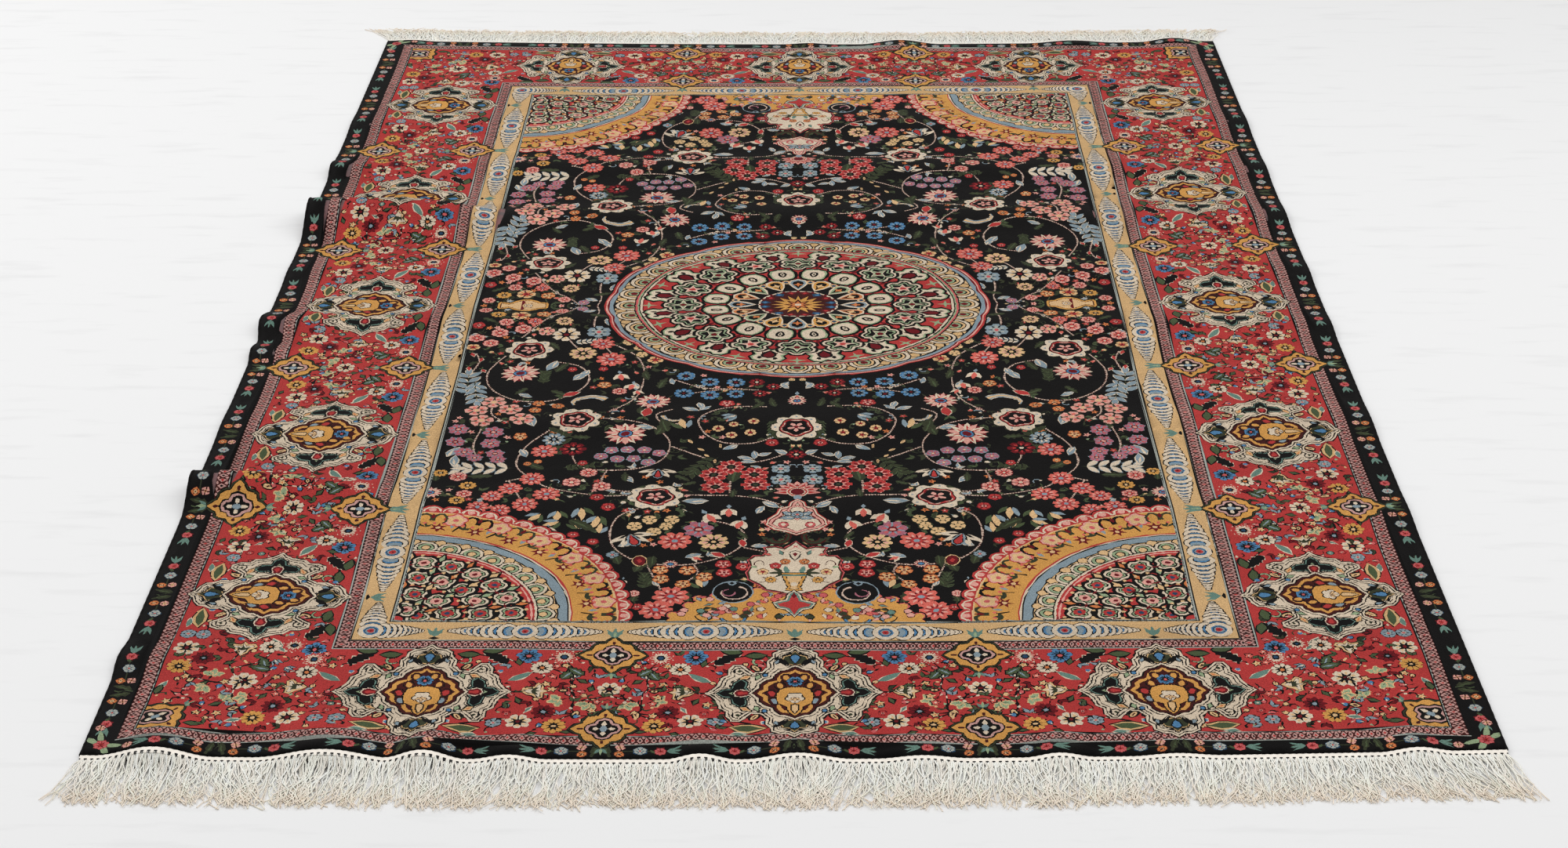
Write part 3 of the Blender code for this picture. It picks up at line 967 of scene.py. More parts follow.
SPINDLE_FIELDS = ("along", "tall", "thick")
SPINDLE_TABLE = (
    (103, 4.0, 3.6), (97, 5.5, 4.8), (90, 7.5, 6.0), (82, 9.5, 7.2), (73, 12.0, 8.6),
    (62.5, 14.5, 10.4), (51, 17.0, 12.0), (38.5, 18.5, 13.6), (25, 19.5, 14.6),
)
SPINDLE_STEPS = [dict(zip(SPINDLE_FIELDS, row)) for row in SPINDLE_TABLE]
EYE_RINGS = ((19.5, "black"), (18.2, "ivory"), (11.0, "blue"), (9.2, "deep_blue"), (7.2, "blue_grey"),
             (5.2, "red"), (2.0, "dark_red"))


SPINDLE_LENGTH = 106.0
CORNER_SPINDLE = 74.0
LEAST_SHRINK = 0.75
BLUE_FROM = 2


def half_spindle(art, place, length=SPINDLE_LENGTH):
    """Crescents that grow towards the eye at the origin, each over the one behind it."""
    shrink = length / SPINDLE_LENGTH
    for number, step in enumerate(SPINDLE_STEPS):
        along = step["along"] * length / SPINDLE_LENGTH
        here = placed(along, 0, within=place)
        thick = step["thick"] * max(shrink, LEAST_SHRINK)
        art.paint(here, oval(thick + 1.4, step["tall"] + 1.4, 14), "black")
        art.paint(here, oval(thick, step["tall"], 14), "ivory")
        if number > BLUE_FROM:
            inner = placed(along - thick * 0.12, 0, within=place)
            art.paint(inner, oval(thick * 0.62, step["tall"] * 0.66, 12), "black")
            art.paint(inner, oval(thick * 0.5, step["tall"] * 0.58, 12), "blue")
            shade = placed(along - thick * 0.35, 0, within=place)
            art.paint(shade, oval(thick * 0.5, step["tall"] * 0.6, 10), "blue_grey")


def eye(art, place):
    for radius, ink in EYE_RINGS:
        art.paint(place, oval(radius, corners=16), ink)


def spindle(art, place):
    for ahead in (1, -1):
        half_spindle(art, placed(wide=ahead, within=place))
    eye(art, place)


def guard_knot(art, place):
    """The small tassel that hangs from the border into the beige guard."""
    for turn in (-28, 28, 0):
        art.paint(placed(0, 15, 180 + turn, within=place), leaf(24, 7), "teal")
    art.paint(placed(0, 19, within=place), oval(7, 3, 8), "black")


def beige_guard(art):
    for axis in range(4):
        spindle(art, on_side(GUARD_MIDDLE_SIDE, (axis + 0.5) * SIDE_AXIS))
    for axis in range(2):
        spindle(art, on_end(GUARD_MIDDLE_END, (axis + 0.5) * END_AXIS))
    for axis in range(5):
        guard_knot(art, on_side(GUARD_MIDDLE_SIDE, axis * SIDE_AXIS))
    for axis in range(3):
        guard_knot(art, on_end(GUARD_MIDDLE_END, axis * END_AXIS))
    corner_y = HALF_LENGTH - GUARD_MIDDLE_END
    corner_x = HALF_WIDTH - GUARD_MIDDLE_SIDE
    half_spindle(art, on_side(GUARD_MIDDLE_SIDE, corner_y, -1), CORNER_SPINDLE)
    half_spindle(art, on_end(GUARD_MIDDLE_END, corner_x, -1), CORNER_SPINDLE)
    eye(art, placed(corner_x, corner_y))


def ellipse_place(x, y, across, along):
    """A place whose local radius 100 reaches across and along in the rug."""
    return np.array([[across / 100, 0.0, x], [0.0, along / 100, y], [0.0, 0.0, 1.0]])


def spokes(count, start=0.0, turn=360.0):
    return [start + turn * i / count for i in range(count)]


def ring_of(art, place, radius, angles, draw):
    """Calls draw at each angle of a ring, with local +Y pointing outwards."""
    for number, angle in enumerate(angles):
        turned = placed(turn=angle, within=place)
        draw(art, placed(0, radius, within=turned), number)


def rings(art, place, table, corners=72):
    for radius, ink in table:
        art.paint(place, oval(radius, corners=corners), ink)


def discs(*table):
    def draw(art, place, number):
        for radius, ink in table:
            art.paint(place, oval(radius, corners=12), ink)
    return draw


def cloud(art, place, number):
    outline = lobed(9.6, 4, 0.34, 4, 45)
    layers(art, place, outline, (1.9, "black"), (0.4, "pale_green"), (-0.5, "ivory"))
    layers(art, placed(0, -5, within=place), drop(8.0, 5.0), (1.6, "black"), (0.2, "dark_red"))
    for side in (-4, 4):
        art.paint(placed(side, 4, within=place), oval(1.2, 1.8, 6), "black")
        art.paint(placed(side * 0.9, -2.4, within=place), oval(0.6, 1.6, 4), "brown_red")


def cell_rosette(art, place, number):
    """A black-edged rosette; every second one has a cross of leaves."""
    look = ("pink", "red") if number % 2 else ("pale_green", "dark_red")
    layers(art, place, lobed(10.2, 6, 0.24, 4), (1.7, "black"), (0.0, "ivory"), (-1.2, "black"),
           (-2.2, "pale_green"), (-3.1, "black"))
    art.paint(place, star(6.2, 4 + number % 2, 2.4), "ivory")
    art.paint(place, star(4.8, 4 + number % 2, 1.8), look[0])
    art.paint(place, oval(1.8, corners=6), look[1])


def ivory_drop(art, place, number):
    layers(art, place, lobed(7.2, 4, 0.2, 3, 45), (1.7, "black"), (0.2, "pale_green"), (-0.6, "ivory"))
    art.paint(place, oval(2.3, 3.4, 8), "black")
    art.paint(place, oval(1.2, 2.2, 6), "ivory")
    art.paint(place, oval(0.5, 1.2, 4), "black")


TILE_INKS = ("blue_grey", "orange", "pale_green", "yellow")


def arch(art, place, number):
    ink = TILE_INKS[number % 4]
    outline = drop(15, 10.5) - (0, 8)
    layers(art, place, outline, (0.7, "black"), (0.1, "ivory"), (-0.9, ink), (-2.2, "black"))
    art.paint(place, star(2.8, 4, 1.2), "cream" if number % 2 else "orange")


def tile(art, place, number):
    art.paint(place, oval(2.6, 3.0, 4), "dark_red" if number % 2 else "deep_blue")
    art.paint(place, oval(1.2, 1.5, 4), "red" if number % 2 else "blue")


MEDALLION_ACROSS = 337.0
MEDALLION_ALONG = 284.0
MEDALLION_RIM = (
    (101.0, "black"), (100.2, "red"), (99.2, "pink"), (98.4, "dark_red"), (97.6, "blue_grey"),
    (95.4, "black"),
)
MEDALLION_INNER = (
    (84.6, "black"), (83.9, "rose"), (82.9, "pale_green"), (82.2, "black"), (81.4, "ivory"),
    (80.4, "dark_red"), (79.8, "red"),
)


def medallion_net(art, place):
    """Dark curved lines that part the medallion's cells."""
    for angle in spokes(16):
        for side in (1, -1):
            branch = placed(wide=side, within=placed(turn=angle, within=place))
            art.paint(branch, ribbon([(0, 36), (10, 50), (16.5, 66), (14, 79)], 1.3), "dark_red")


def central_medallion(art):
    place = ellipse_place(0, 0, MEDALLION_ACROSS, MEDALLION_ALONG)
    for radius, ink in MEDALLION_RIM:
        art.paint(place, lobed(radius, 16, 0.018, 6), ink)
    many, whole, half = spokes(32, 5.625), spokes(16), spokes(16, 11.25)
    rings(art, place, ((94.6, "cream"),))
    ring_of(art, place, 91.6, many, discs((3.4, "black"), (2.5, "beige")))
    ring_of(art, place, 86.8, spokes(32), discs((8.4, "black"), (7.6, "ivory"), (5.9, "black"),
                                               (5.1, "cream"), (3.9, "black"), (3.1, "pale_green"),
                                               (1.9, "dark_red")))
    rings(art, place, MEDALLION_INNER)
    ring_of(art, place, 77.0, whole, lambda a, p, n: a.paint(p, star(4.6, 4, 1.2), "pale_green"))
    ring_of(art, place, 50.0, half, lambda a, p, n: a.paint(p, oval(1.0, 5.0, 4), "pink"))
    ring_of(art, place, 66.0, many, lambda a, p, n: a.paint(p, oval(0.7, 2.4, 4), "cream"))
    medallion_net(art, place)
    ring_of(art, place, 71.0, half, cloud)
    ring_of(art, place, 59.5, whole, cell_rosette)
    ring_of(art, place, 43.0, half, ivory_drop)
    rings(art, place, ((34.0, "black"), (33.2, "pink"), (32.2, "blue_grey"), (31.4, "black")), 32)
    ring_of(art, place, 29.5, whole, arch)
    ring_of(art, place, 33.0, half, discs((2.2, "cream"), (1.2, "deep_blue")))
    rings(art, place, ((21.4, "black"), (20.4, "ivory"), (19.4, "brown_red")), 32)
    ring_of(art, place, 17.2, half, tile)
    ring_of(art, place, 19.4, whole, discs((1.0, "dark_red")))
    art.paint(place, star(14.5, 16, 8.5), "black")
    art.paint(place, star(13.6, 16, 7.4), "yellow")
    art.paint(place, star(8.0, 8, 4.0), "brown_red")
    art.paint(place, star(5.6, 8, 2.6), "orange")
    art.paint(place, oval(1.8, corners=8), "ivory")


SPANDREL_ACROSS = 328.0
SPANDREL_ALONG = 314.0
CORNER_TURN = 90.0
SPANDREL_BAND = ((75.8, "red"), (75.0, "ivory"), (74.3, "black"), (73.7, "blue_grey"), (69.6, "black"),
                 (69.0, "cream"))
SPANDREL_INNER = ((61.2, "black"), (60.6, "ivory"), (59.6, "red"), (58.6, "pink"), (57.8, "red"))


def quarter_angles(count, start=0.5):
    """Angles of a quarter ring that opens towards the rug's middle."""
    return [CORNER_TURN + 90.0 * (i + start) / count for i in range(-1, count + 1)]


def band_curl(art, place, number):
    """A dark curl or a pink cloud of the yellow band."""
    if number % 2:
        for side in (1, -1):
            half = placed(wide=side, within=place)
            path = arc(3.4, 0, 3.2, 4.2, 200, -60, 9)
            art.paint(half, ribbon(path, 2.0, 0.9), "olive" if number % 4 == 1 else "black")
        art.paint(place, leaf(5, 2.2), "dark_red")
    else:
        layers(art, place, lobed(5.2, 5, 0.2, 4), (0.7, "red"), (0, "pink"), (-1.0, "cream"))
        art.paint(place, oval(1.4, corners=6), "rose")


def band_flower(art, place, number):
    if number % 3 == 0:
        art.paint(place, star(4.4, 6, 1.8), "dark_red")
        art.paint(place, oval(1.2, corners=6), "cream")
    elif number % 3 == 1:
        for turn in (-50, 0, 50):
            art.paint(placed(turn=turn, within=place), leaf(4.6, 1.7), "olive")
    else:
        art.paint(place, leaf(5.0, 2.0), "blue_grey")
        art.paint(placed(2.5, 0, -20, within=place), ribbon([(0, -3), (0, 3)], 0.9), "black")


def spandrel_eye(art, place, number):
    inner = ("red", "deep_blue") if number % 2 else ("pink", "dark_red")
    layers(art, place, lobed(5.8, 4, 0.24, 4, 45), (1.8, "black"), (0.2, "ivory"), (-0.9, "black"),
           (-1.6, "pale_green"), (-2.3, "black"))
    art.paint(place, lobed(3.0, 4, 0.3, 3), inner[0])
    art.paint(place, oval(1.3, corners=6), inner[1])


def spandrel_leaf(art, place, number):
    ink = ("pale_green", "cream", "orange")[number % 3]
    layers(art, place, leaf(6.0, 2.6) - (0, 2.7), (1.6, "black"), (0, ink))
    art.paint(placed(0, 4.4, within=place), oval(2.6, 0.7, 4), "dark_red")


def corner_spandrel(art):
    place = ellipse_place(FIELD_X, FIELD_Y, SPANDREL_ACROSS, SPANDREL_ALONG)
    scallops = quarter_angles(17)
    for radius, ink in ((6.2, "black"), (5.5, "red"), (4.3, "ivory"), (3.4, "red")):
        ring_of(art, place, 96.0, scallops, discs((radius, ink)))
    rings(art, place, ((96.0, "red"), (95.2, "cream"), (94.4, "yellow")))
    ring_of(art, place, 97.6, scallops, discs((1.8, "pink")))
    ring_of(art, place, 89.5, quarter_angles(13), band_curl)
    ring_of(art, place, 82.0, quarter_angles(22), band_flower)
    ring_of(art, place, 85.6, quarter_angles(30), discs((0.9, "coral")))
    rings(art, place, SPANDREL_BAND)
    ring_of(art, place, 67.6, quarter_angles(9, 0.0), discs((3.0, "black"), (2.4, "cream")))
    for radius, ink in ((5.9, "black"), (5.3, "ivory"), (4.1, "black"), (3.6, "pale_green"),
                        (2.4, "black"), (1.8, "cream")):
        ring_of(art, place, 63.0, quarter_angles(9), discs((radius, ink)))
    rings(art, place, SPANDREL_INNER)
    for radius, count in ((49.5, 6), (36.5, 5), (23.0, 3), (10.0, 2)):
        ring_of(art, place, radius, quarter_angles(count), spandrel_eye)
    for radius, count in ((54.5, 6), (43.0, 6), (30.0, 4), (17.0, 3)):
        ring_of(art, place, radius, quarter_angles(count, 0.0), spandrel_leaf)
    for radius, count in ((56.0, 12), (43.5, 11), (30.5, 9), (16.0, 5)):
        ring_of(art, place, radius, quarter_angles(count, 0.3), discs((0.9, "cream")))


def star_rosette(art, place, size):
    layers(art, place, lobed(size, 8, 0.2, 4), (1.6, "olive"), (0.6, "black"), (-0.6, "ivory"))
    for angle in spokes(8):
        turned = placed(turn=angle, within=place)
        art.paint(turned, oval(2.0, 2.6, 6) + (0, size * 0.82), "blue_grey")
    layers(art, place, lobed(size * 0.66, 5, 0.24, 5), (2.3, "black"), (0, "red"), (-2.4, "ivory"),
           (-3.4, "dark_red"), (-5.2, "black"))
    for angle in spokes(5):
        art.paint(placed(turn=angle, within=place), drop(size * 0.34, size * 0.17), "pink")
    art.paint(place, oval(size * 0.1, corners=6), "dark_red")


def lotus(art, place, size):
    art.paint(place, oval(size * 0.86, corners=14), "dark_red")
    for number, angle in enumerate(spokes(14)):
        petal = leaf(size, size * 0.3)
        art.paint(placed(turn=angle, within=place), petal, "pink" if number % 2 else "ivory")
    for angle in spokes(7):
        art.paint(placed(turn=angle, within=place), leaf(size * 0.8, size * 0.1), "red")
    layers(art, place, oval(size * 0.32, size * 0.28, 10), (1.9, "black"), (0, "blue"), (-3, "dark_red"))


def olive_leaf(art, place, size):
    art.paint(place, jagged(size, size * 0.44, 4, size * 0.12), "olive")
    art.paint(place, leaf(size * 0.8, size * 0.07, size * 0.08), "green")


def grey_leaf(art, place, size):
    layers(art, place, leaf(size, size * 0.42, size * 0.12), (1.0, "ivory"), (-0.3, "blue_grey"))
    art.paint(place, leaf(size * 0.7, size * 0.1), "ivory")


def two_tone_leaf(art, place, size):
    art.paint(place, leaf(size, size * 0.34, size * 0.1), "cream")
    art.paint(placed(size * 0.1, 0, -30, within=place), leaf(size * 0.8, size * 0.28), "blue_grey")
    art.paint(placed(-size * 0.1, 0, 30, within=place), leaf(size * 0.8, size * 0.28), "green")


def feather(art, place, size, ink="blue_grey", line="ivory", pairs=4):
    art.paint(place, ribbon([(0, 0), (0, size)], 1.6), "olive")
    for i in range(pairs):
        for side in (-1, 1):
            twig = placed(0, size * (0.12 + 0.2 * i), 48 * side, within=place)
            layers(art, twig, leaf(size * 0.3, size * 0.12), (0.9, line), (0, ink))
    layers(art, placed(0, size * 0.8, within=place), leaf(size * 0.3, size * 0.12), (0.9, line), (0, ink))


def fern(art, place, size):
    feather(art, place, size, "olive", "green", 5)


def white_fern(art, place, size):
    feather(art, place, size, "ivory", "blue_grey", 5)


def red_bud(art, place, size):
    layers(art, place, leaf(size, size * 0.46), (1.4, "ivory"), (0, "red"))
    for lean in (-35, 35):
        art.paint(placed(turn=180 + lean, within=place), leaf(size * 0.5, size * 0.2), "green")


def small_tulip(art, place, size):
    for lean, ink in ((-32, "ivory"), (32, "ivory"), (0, "coral")):
        art.paint(placed(turn=lean, within=place), leaf(size, size * 0.44), ink)
    art.paint(placed(0, -1, 180, within=place), leaf(size * 0.5, size * 0.34), "blue_grey")


def curled_leaf(art, place, size):
    path = arc(0, 0, size * 0.6, size * 0.42, 200, 380, 12)
    for width, ink in ((size * 0.34, "ivory"), (size * 0.26, "blue_grey"), (size * 0.12, "cream")):
        art.paint(place, ribbon(path, width, width * 0.3), ink)


def ringed_bud(art, place, size):
    layers(art, place, oval(size * 0.7, size, 10), (1.8, "cream"), (0.2, "black"), (-0.8, "dark_red"))
    art.paint(place, oval(size * 0.25, size * 0.4, 6), "red")


def crane_lily(art, place, size):
    for lean in (-70, -35, 35, 70):
        art.paint(placed(turn=lean, within=place), leaf(size, size * 0.3), "ivory")
        art.paint(placed(turn=lean, within=place), leaf(size * 0.6, size * 0.12), "black")
    layers(art, place, drop(size * 0.9, size * 0.5), (1.2, "blue_grey"), (-1.0, "black"), (-3.0, "red"))


FIELD_MOTIFS = {
    "star_rosette": star_rosette, "lotus": lotus,
    "olive_leaf": olive_leaf, "grey_leaf": grey_leaf, "two_tone_leaf": two_tone_leaf,
    "feather": feather, "fern": fern, "white_fern": white_fern, "red_bud": red_bud,
    "small_tulip": small_tulip, "curled_leaf": curled_leaf, "ringed_bud": ringed_bud,
    "crane_lily": crane_lily,
}
MOTIFS.update(FIELD_MOTIFS)

# The flowers of one quarter of the field, from the rug's middle
FIELD_FIELDS = ("kind", "x", "y", "size", "turn")
FIELD_TABLE = (
    ("star_rosette", (212, 692, 44, 10), (352, 440, 42, 20), (452, 178, 42, 0), (0, 466, 42, 0)),
    ("lotus", (457, 266, 34, 15), (233, 369, 29, 10), (270, 487, 34, 30)),
    ("grey_daisy", (383, 502, 20, 0)), ("coral_flower", (395, 540, 23, 0)),
    ("dark_red_flower", (350, 533, 23, 0)),
    ("small_mauve", (288, 538, 12, 0), (263, 536, 12, 20), (237, 538, 12, 40), (214, 548, 12, 10),
     (303, 558, 12, 0), (277, 567, 12, 30), (252, 566, 12, 0), (229, 578, 12, 15)),
    ("coral_flower", (330, 155, 22, 0)), ("cream_daisy", (360, 192, 25, 0)),
    ("coral_flower", (312, 214, 27, 10)), ("white_flower", (395, 120, 26, 0)),
    ("grey_flower", (340, 110, 22, 0)),
    ("cream_dot", (287, 148, 13, 0), (266, 170, 13, 0), (262, 196, 12, 0)),
    ("cream_flower", (238, 216, 15, 0)),
    ("pink_flower", (545, 130, 16, 0), (508, 112, 16, 0), (470, 100, 16, 0), (520, 150, 15, 0)),
    ("tea_rose", (430, 108, 16, 30)), ("cream_flower", (548, 165, 13, 0)),
    ("red_bud", (548, 186, 17, 20), (528, 206, 17, -10), (548, 240, 17, 10), (524, 250, 15, 30)),
    ("small_tulip", (293, 268, 24, 10), (270, 305, 22, -10), (262, 328, 18, 20)),
    ("orange_flower", (316, 308, 13, 0)), ("pink_flower", (290, 331, 13, 0)),
    ("small_red", (322, 250, 9, 0), (372, 252, 9, 0)), ("red_bud", (380, 350, 30, 120)),
    ("curled_leaf", (335, 372, 46, 10)),
    ("orange_flower", (416, 378, 12, 0), (385, 388, 12, 20), (420, 404, 12, 40)),
    ("tea_rose", (489, 372, 22, 0), (514, 404, 21, 60), (460, 400, 21, -60), (502, 442, 21, 100),
     (439, 436, 21, -20)),
    ("mauve_flower", (536, 471, 18, 0), (480, 479, 18, 20), (537, 510, 17, 0), (482, 514, 17, 10),
     (520, 544, 17, 0), (472, 548, 16, 0), (502, 563, 14, 0), (466, 568, 14, 0)),
    ("orange_flower", (437, 492, 13, 0)), ("small_red", (330, 580, 9, 0)),
    ("orange_flower", (402, 575, 8, 0), (418, 582, 8, 0)), ("grey_flower", (182, 275, 17, 0)),
    ("sky_flower", (183, 276, 17, 0), (143, 298, 17, 0), (101, 301, 17, 10), (185, 338, 18, 0),
     (143, 345, 17, 20), (101, 342, 16, 0)),
    ("dark_red_flower", (67, 301, 15, 0), (40, 318, 14, 0), (62, 342, 14, 0)),
    ("cream_dot", (9, 292, 7, 0)), ("small_tulip", (0, 350, 24, 0)), ("lotus", (0, 370, 17, 0)),
    ("small_red", (115, 377, 14, 0)),
    ("cream_flower", (126, 470, 11, 0), (104, 490, 11, 20), (74, 482, 11, 0), (70, 446, 11, 30),
     (102, 456, 10, 0)), ("tulip", (98, 424, 26, -60)), ("small_red", (38, 513, 12, 0)),
    ("dark_red_flower", (0, 552, 17, 0)),
    ("carnation", (100, 592, 23, 0), (126, 617, 23, 10), (64, 616, 23, 20), (122, 656, 24, 30),
     (62, 648, 23, 0)), ("grey_flower", (24, 598, 17, 0), (24, 632, 18, 10)),
    ("crane_lily", (212, 600, 32, 0)),
    ("coral_flower", (405, 632, 22, 0), (436, 665, 21, 10), (377, 684, 23, 0), (407, 717, 22, 20),
     (460, 691, 19, 0), (443, 735, 18, 0), (478, 726, 19, 0)),
    ("pink_flower", (318, 612, 15, 0), (342, 643, 16, 0), (295, 657, 16, 0)),
    ("small_red", (300, 695, 12, 0), (282, 725, 12, 0)), ("pink_flower", (520, 626, 15, 0)),
    ("yellow_daisy", (502, 655, 15, 0)), ("pink_flower", (504, 684, 14, 0)),
    ("yellow_daisy", (512, 706, 14, 0), (548, 614, 13, 0)), ("lotus", (555, 680, 19, 0)),
    ("cream_dot", (218, 760, 13, 0), (184, 760, 13, 0), (240, 777, 13, 0), (192, 778, 12, 0),
     (210, 793, 13, 0)), ("mauve_flower", (143, 787, 24, 0)), ("coral_flower", (177, 820, 27, 0)),
    ("cream_daisy", (120, 823, 24, 0)), ("crane_lily", (246, 800, 38, 20)),
    ("ringed_bud", (226, 876, 14, 10)),
    ("small_tulip", (132, 745, 26, 30), (100, 728, 24, 0), (80, 762, 24, -20)),
    ("red_bud", (80, 816, 22, 10), (102, 866, 24, -120)),
    ("small_red", (104, 887, 13, 0), (75, 894, 12, 0), (102, 911, 13, 0)),
    ("orange_flower", (194, 902, 14, 0), (155, 904, 14, 0), (192, 928, 14, 0), (130, 922, 14, 0),
     (160, 942, 13, 0)), ("coral_flower", (176, 976, 28, 0), (196, 1012, 26, 10)),
    ("small_tulip", (150, 866, 18, 60)), ("lotus", (180, 886, 12, 0)),
    ("small_red", (330, 800, 10, 0), (300, 820, 10, 0)),
    ("small_tulip", (306, 850, 16, 0), (366, 780, 15, 20)), ("grey_flower", (268, 858, 11, 0)),
    ("small_red", (270, 900, 9, 0)), ("small_tulip", (246, 930, 13, 0)),
    ("pink_flower", (228, 968, 10, 0)), ("small_red", (222, 1004, 9, 0)),
)
LEAF_TABLE = (
    ("olive_leaf", (398, 262, 40, 160)),
    ("grey_leaf", (345, 254, 30, -20), (368, 292, 34, 150), (400, 220, 38, -15)),
    ("olive_leaf", (400, 330, 36, 60), (440, 320, 30, -30)), ("fern", (415, 305, 44, 180)),
    ("feather", (537, 350, 96, 185), (530, 300, 84, 10)), ("grey_leaf", (452, 342, 26, 70)),
    ("olive_leaf", (325, 497, 34, -90), (222, 490, 52, 160), (205, 480, 44, 200)),
    ("grey_leaf", (256, 462, 30, 80), (418, 462, 40, 200), (434, 532, 30, 30)),
    ("two_tone_leaf", (178, 470, 34, 200)), ("grey_leaf", (268, 300, 26, 20)),
    ("olive_leaf", (245, 290, 36, 200), (226, 320, 40, 170)),
    ("grey_leaf", (202, 306, 22, 200), (160, 372, 26, 20), (186, 392, 30, 70), (158, 404, 24, 140)),
    ("olive_leaf", (250, 420, 30, 190)), ("red_bud", (244, 430, 36, 170)),
    ("curled_leaf", (200, 432, 26, 140)),
    ("olive_leaf", (55, 372, 34, -30), (70, 360, 26, 30), (36, 392, 34, 200)),
    ("fern", (36, 440, 52, 0)), ("grey_leaf", (14, 300, 26, -30), (14, 325, 22, -140)),
    ("fern", (120, 560, 70, -40)),
    ("grey_leaf", (92, 520, 28, -50), (66, 540, 26, 10), (92, 560, 26, 80), (60, 556, 22, 120),
     (34, 536, 26, 60), (86, 576, 24, 100)),
    ("seed", (168, 510, 6, 30), (150, 536, 6, 60), (120, 524, 6, 10), (140, 556, 6, 40),
     (126, 574, 6, 0)), ("fern", (374, 560, 84, 180), (360, 596, 46, 100)),
    ("olive_leaf", (390, 600, 40, -120)), ("white_fern", (438, 596, 88, -88)),
    ("olive_leaf", (468, 622, 40, -80)), ("grey_leaf", (545, 560, 36, 160), (530, 590, 34, 190)),
    ("olive_leaf", (552, 640, 34, 190), (240, 660, 30, 100)), ("grey_leaf", (262, 622, 24, 40)),
    ("olive_leaf", (186, 620, 30, 60), (260, 640, 30, 190), (96, 640, 60, 180), (152, 640, 26, -60),
     (156, 600, 26, -40)),
    ("two_tone_leaf", (355, 735, 30, 0), (322, 727, 34, 10), (295, 750, 34, -10), (380, 744, 28, -40),
     (352, 764, 28, -60), (322, 784, 28, 200), (293, 797, 28, 180)),
    ("olive_leaf", (338, 760, 50, 60)),
    ("grey_leaf", (130, 704, 40, -80), (52, 706, 30, 60), (60, 742, 24, 160)),
    ("olive_leaf", (96, 692, 30, 180), (74, 688, 28, 100)), ("grey_leaf", (65, 836, 24, 100)),
    ("olive_leaf", (86, 792, 26, 40)), ("grey_leaf", (78, 872, 28, 30)),
    ("olive_leaf", (92, 872, 34, 90), (256, 886, 44, 200), (232, 908, 48, 160), (206, 862, 34, 0),
     (210, 950, 30, 170)), ("grey_leaf", (196, 948, 22, 200)), ("two_tone_leaf", (133, 952, 30, 200)),
    ("grey_leaf", (262, 834, 26, 120)), ("olive_leaf", (146, 930, 40, 140)),
    ("fern", (216, 956, 44, 180)), ("grey_leaf", (160, 868, 26, 120)),
    ("olive_leaf", (232, 1000, 34, 170), (150, 1000, 36, 190)), ("white_fern", (380, 150, 44, 100)),
    ("olive_leaf", (420, 150, 34, 40), (300, 190, 30, 120), (540, 60, 30, 60)),
    ("grey_leaf", (330, 62, 26, 20)), ("olive_leaf", (360, 44, 34, 80)),
    ("grey_leaf", (350, 20, 26, -60)),
)
FIELD_PIECES = listed(FIELD_FIELDS, LEAF_TABLE + FIELD_TABLE)

# Fine scrolling stems, as points from the rug's middle
FIELD_VINES = (
    ((446, 640), (405, 628), (385, 655), (340, 677), (290, 690), (252, 688)),
    ((392, 474), (424, 520), (436, 575), (424, 610), (392, 640)),
    ((310, 436), (262, 446), (224, 470), (200, 512), (206, 565), (240, 596), (290, 604), (330, 594),
     (346, 566), (348, 548)),
    ((290, 604), (296, 632), (290, 660), (262, 674), (242, 672)),
    ((490, 200), (512, 262), (500, 322), (455, 364), (400, 368), (356, 330), (342, 284), (362, 240),
     (408, 222)),
    ((310, 158), (272, 200), (255, 250), (254, 312), (266, 362), (304, 414)),
    ((36, 494), (66, 514), (112, 514), (146, 486), (158, 440), (134, 404), (96, 390), (50, 392)),
    ((200, 400), (224, 420), (216, 450), (184, 456)),
    ((196, 526), (160, 552), (126, 572), (90, 580), (50, 572), (14, 548)),
    ((180, 684), (140, 686), (100, 686), (60, 694), (24, 716)),
    ((232, 728), (266, 752), (276, 800), (262, 846), (222, 880), (160, 888), (106, 866), (76, 826),
     (82, 786), (118, 764), (140, 764)),
    ((76, 840), (50, 850), (30, 862)),
    ((100, 600), (100, 680)), ((180, 340), (120, 326), (60, 330)), ((200, 290), (150, 320), (90, 324)),
    ((500, 470), (508, 520), (500, 560)), ((490, 392), (486, 424), (460, 450)),
    ((216, 884), (200, 930), (190, 960)), ((146, 888), (140, 914), (160, 940), (176, 958)),
    ((440, 640), (420, 690), (400, 740)), ((538, 256), (532, 220), (540, 190)),
    ((392, 130), (372, 170), (344, 196)), ((470, 130), (430, 60), (400, 30), (380, 0)),
    ((310, 200), (340, 130), (350, 80), (345, 30), (350, 0)),
)
DASH = 3.2
DASH_GAP = 1.4


def field_vine(art, points):
    """A dark stem with light dashes, as the knots turn."""
    path = smooth(points, 8, closed=False)
    art.paint(placed(), ribbon(path, 3.4), "brown_red")
    steps = np.linalg.norm(np.diff(path, axis=0), axis=1)
    length = np.concatenate([[0.0], np.cumsum(steps)])
    starts = np.arange(0, length[-1] - DASH, DASH + DASH_GAP)
    for start in starts:
        ends = [start, start + DASH]
        piece = np.stack([np.interp(ends, length, path[:, k]) for k in (0, 1)], axis=1)
        art.paint(placed(), ribbon(piece, 2.4), "vine")


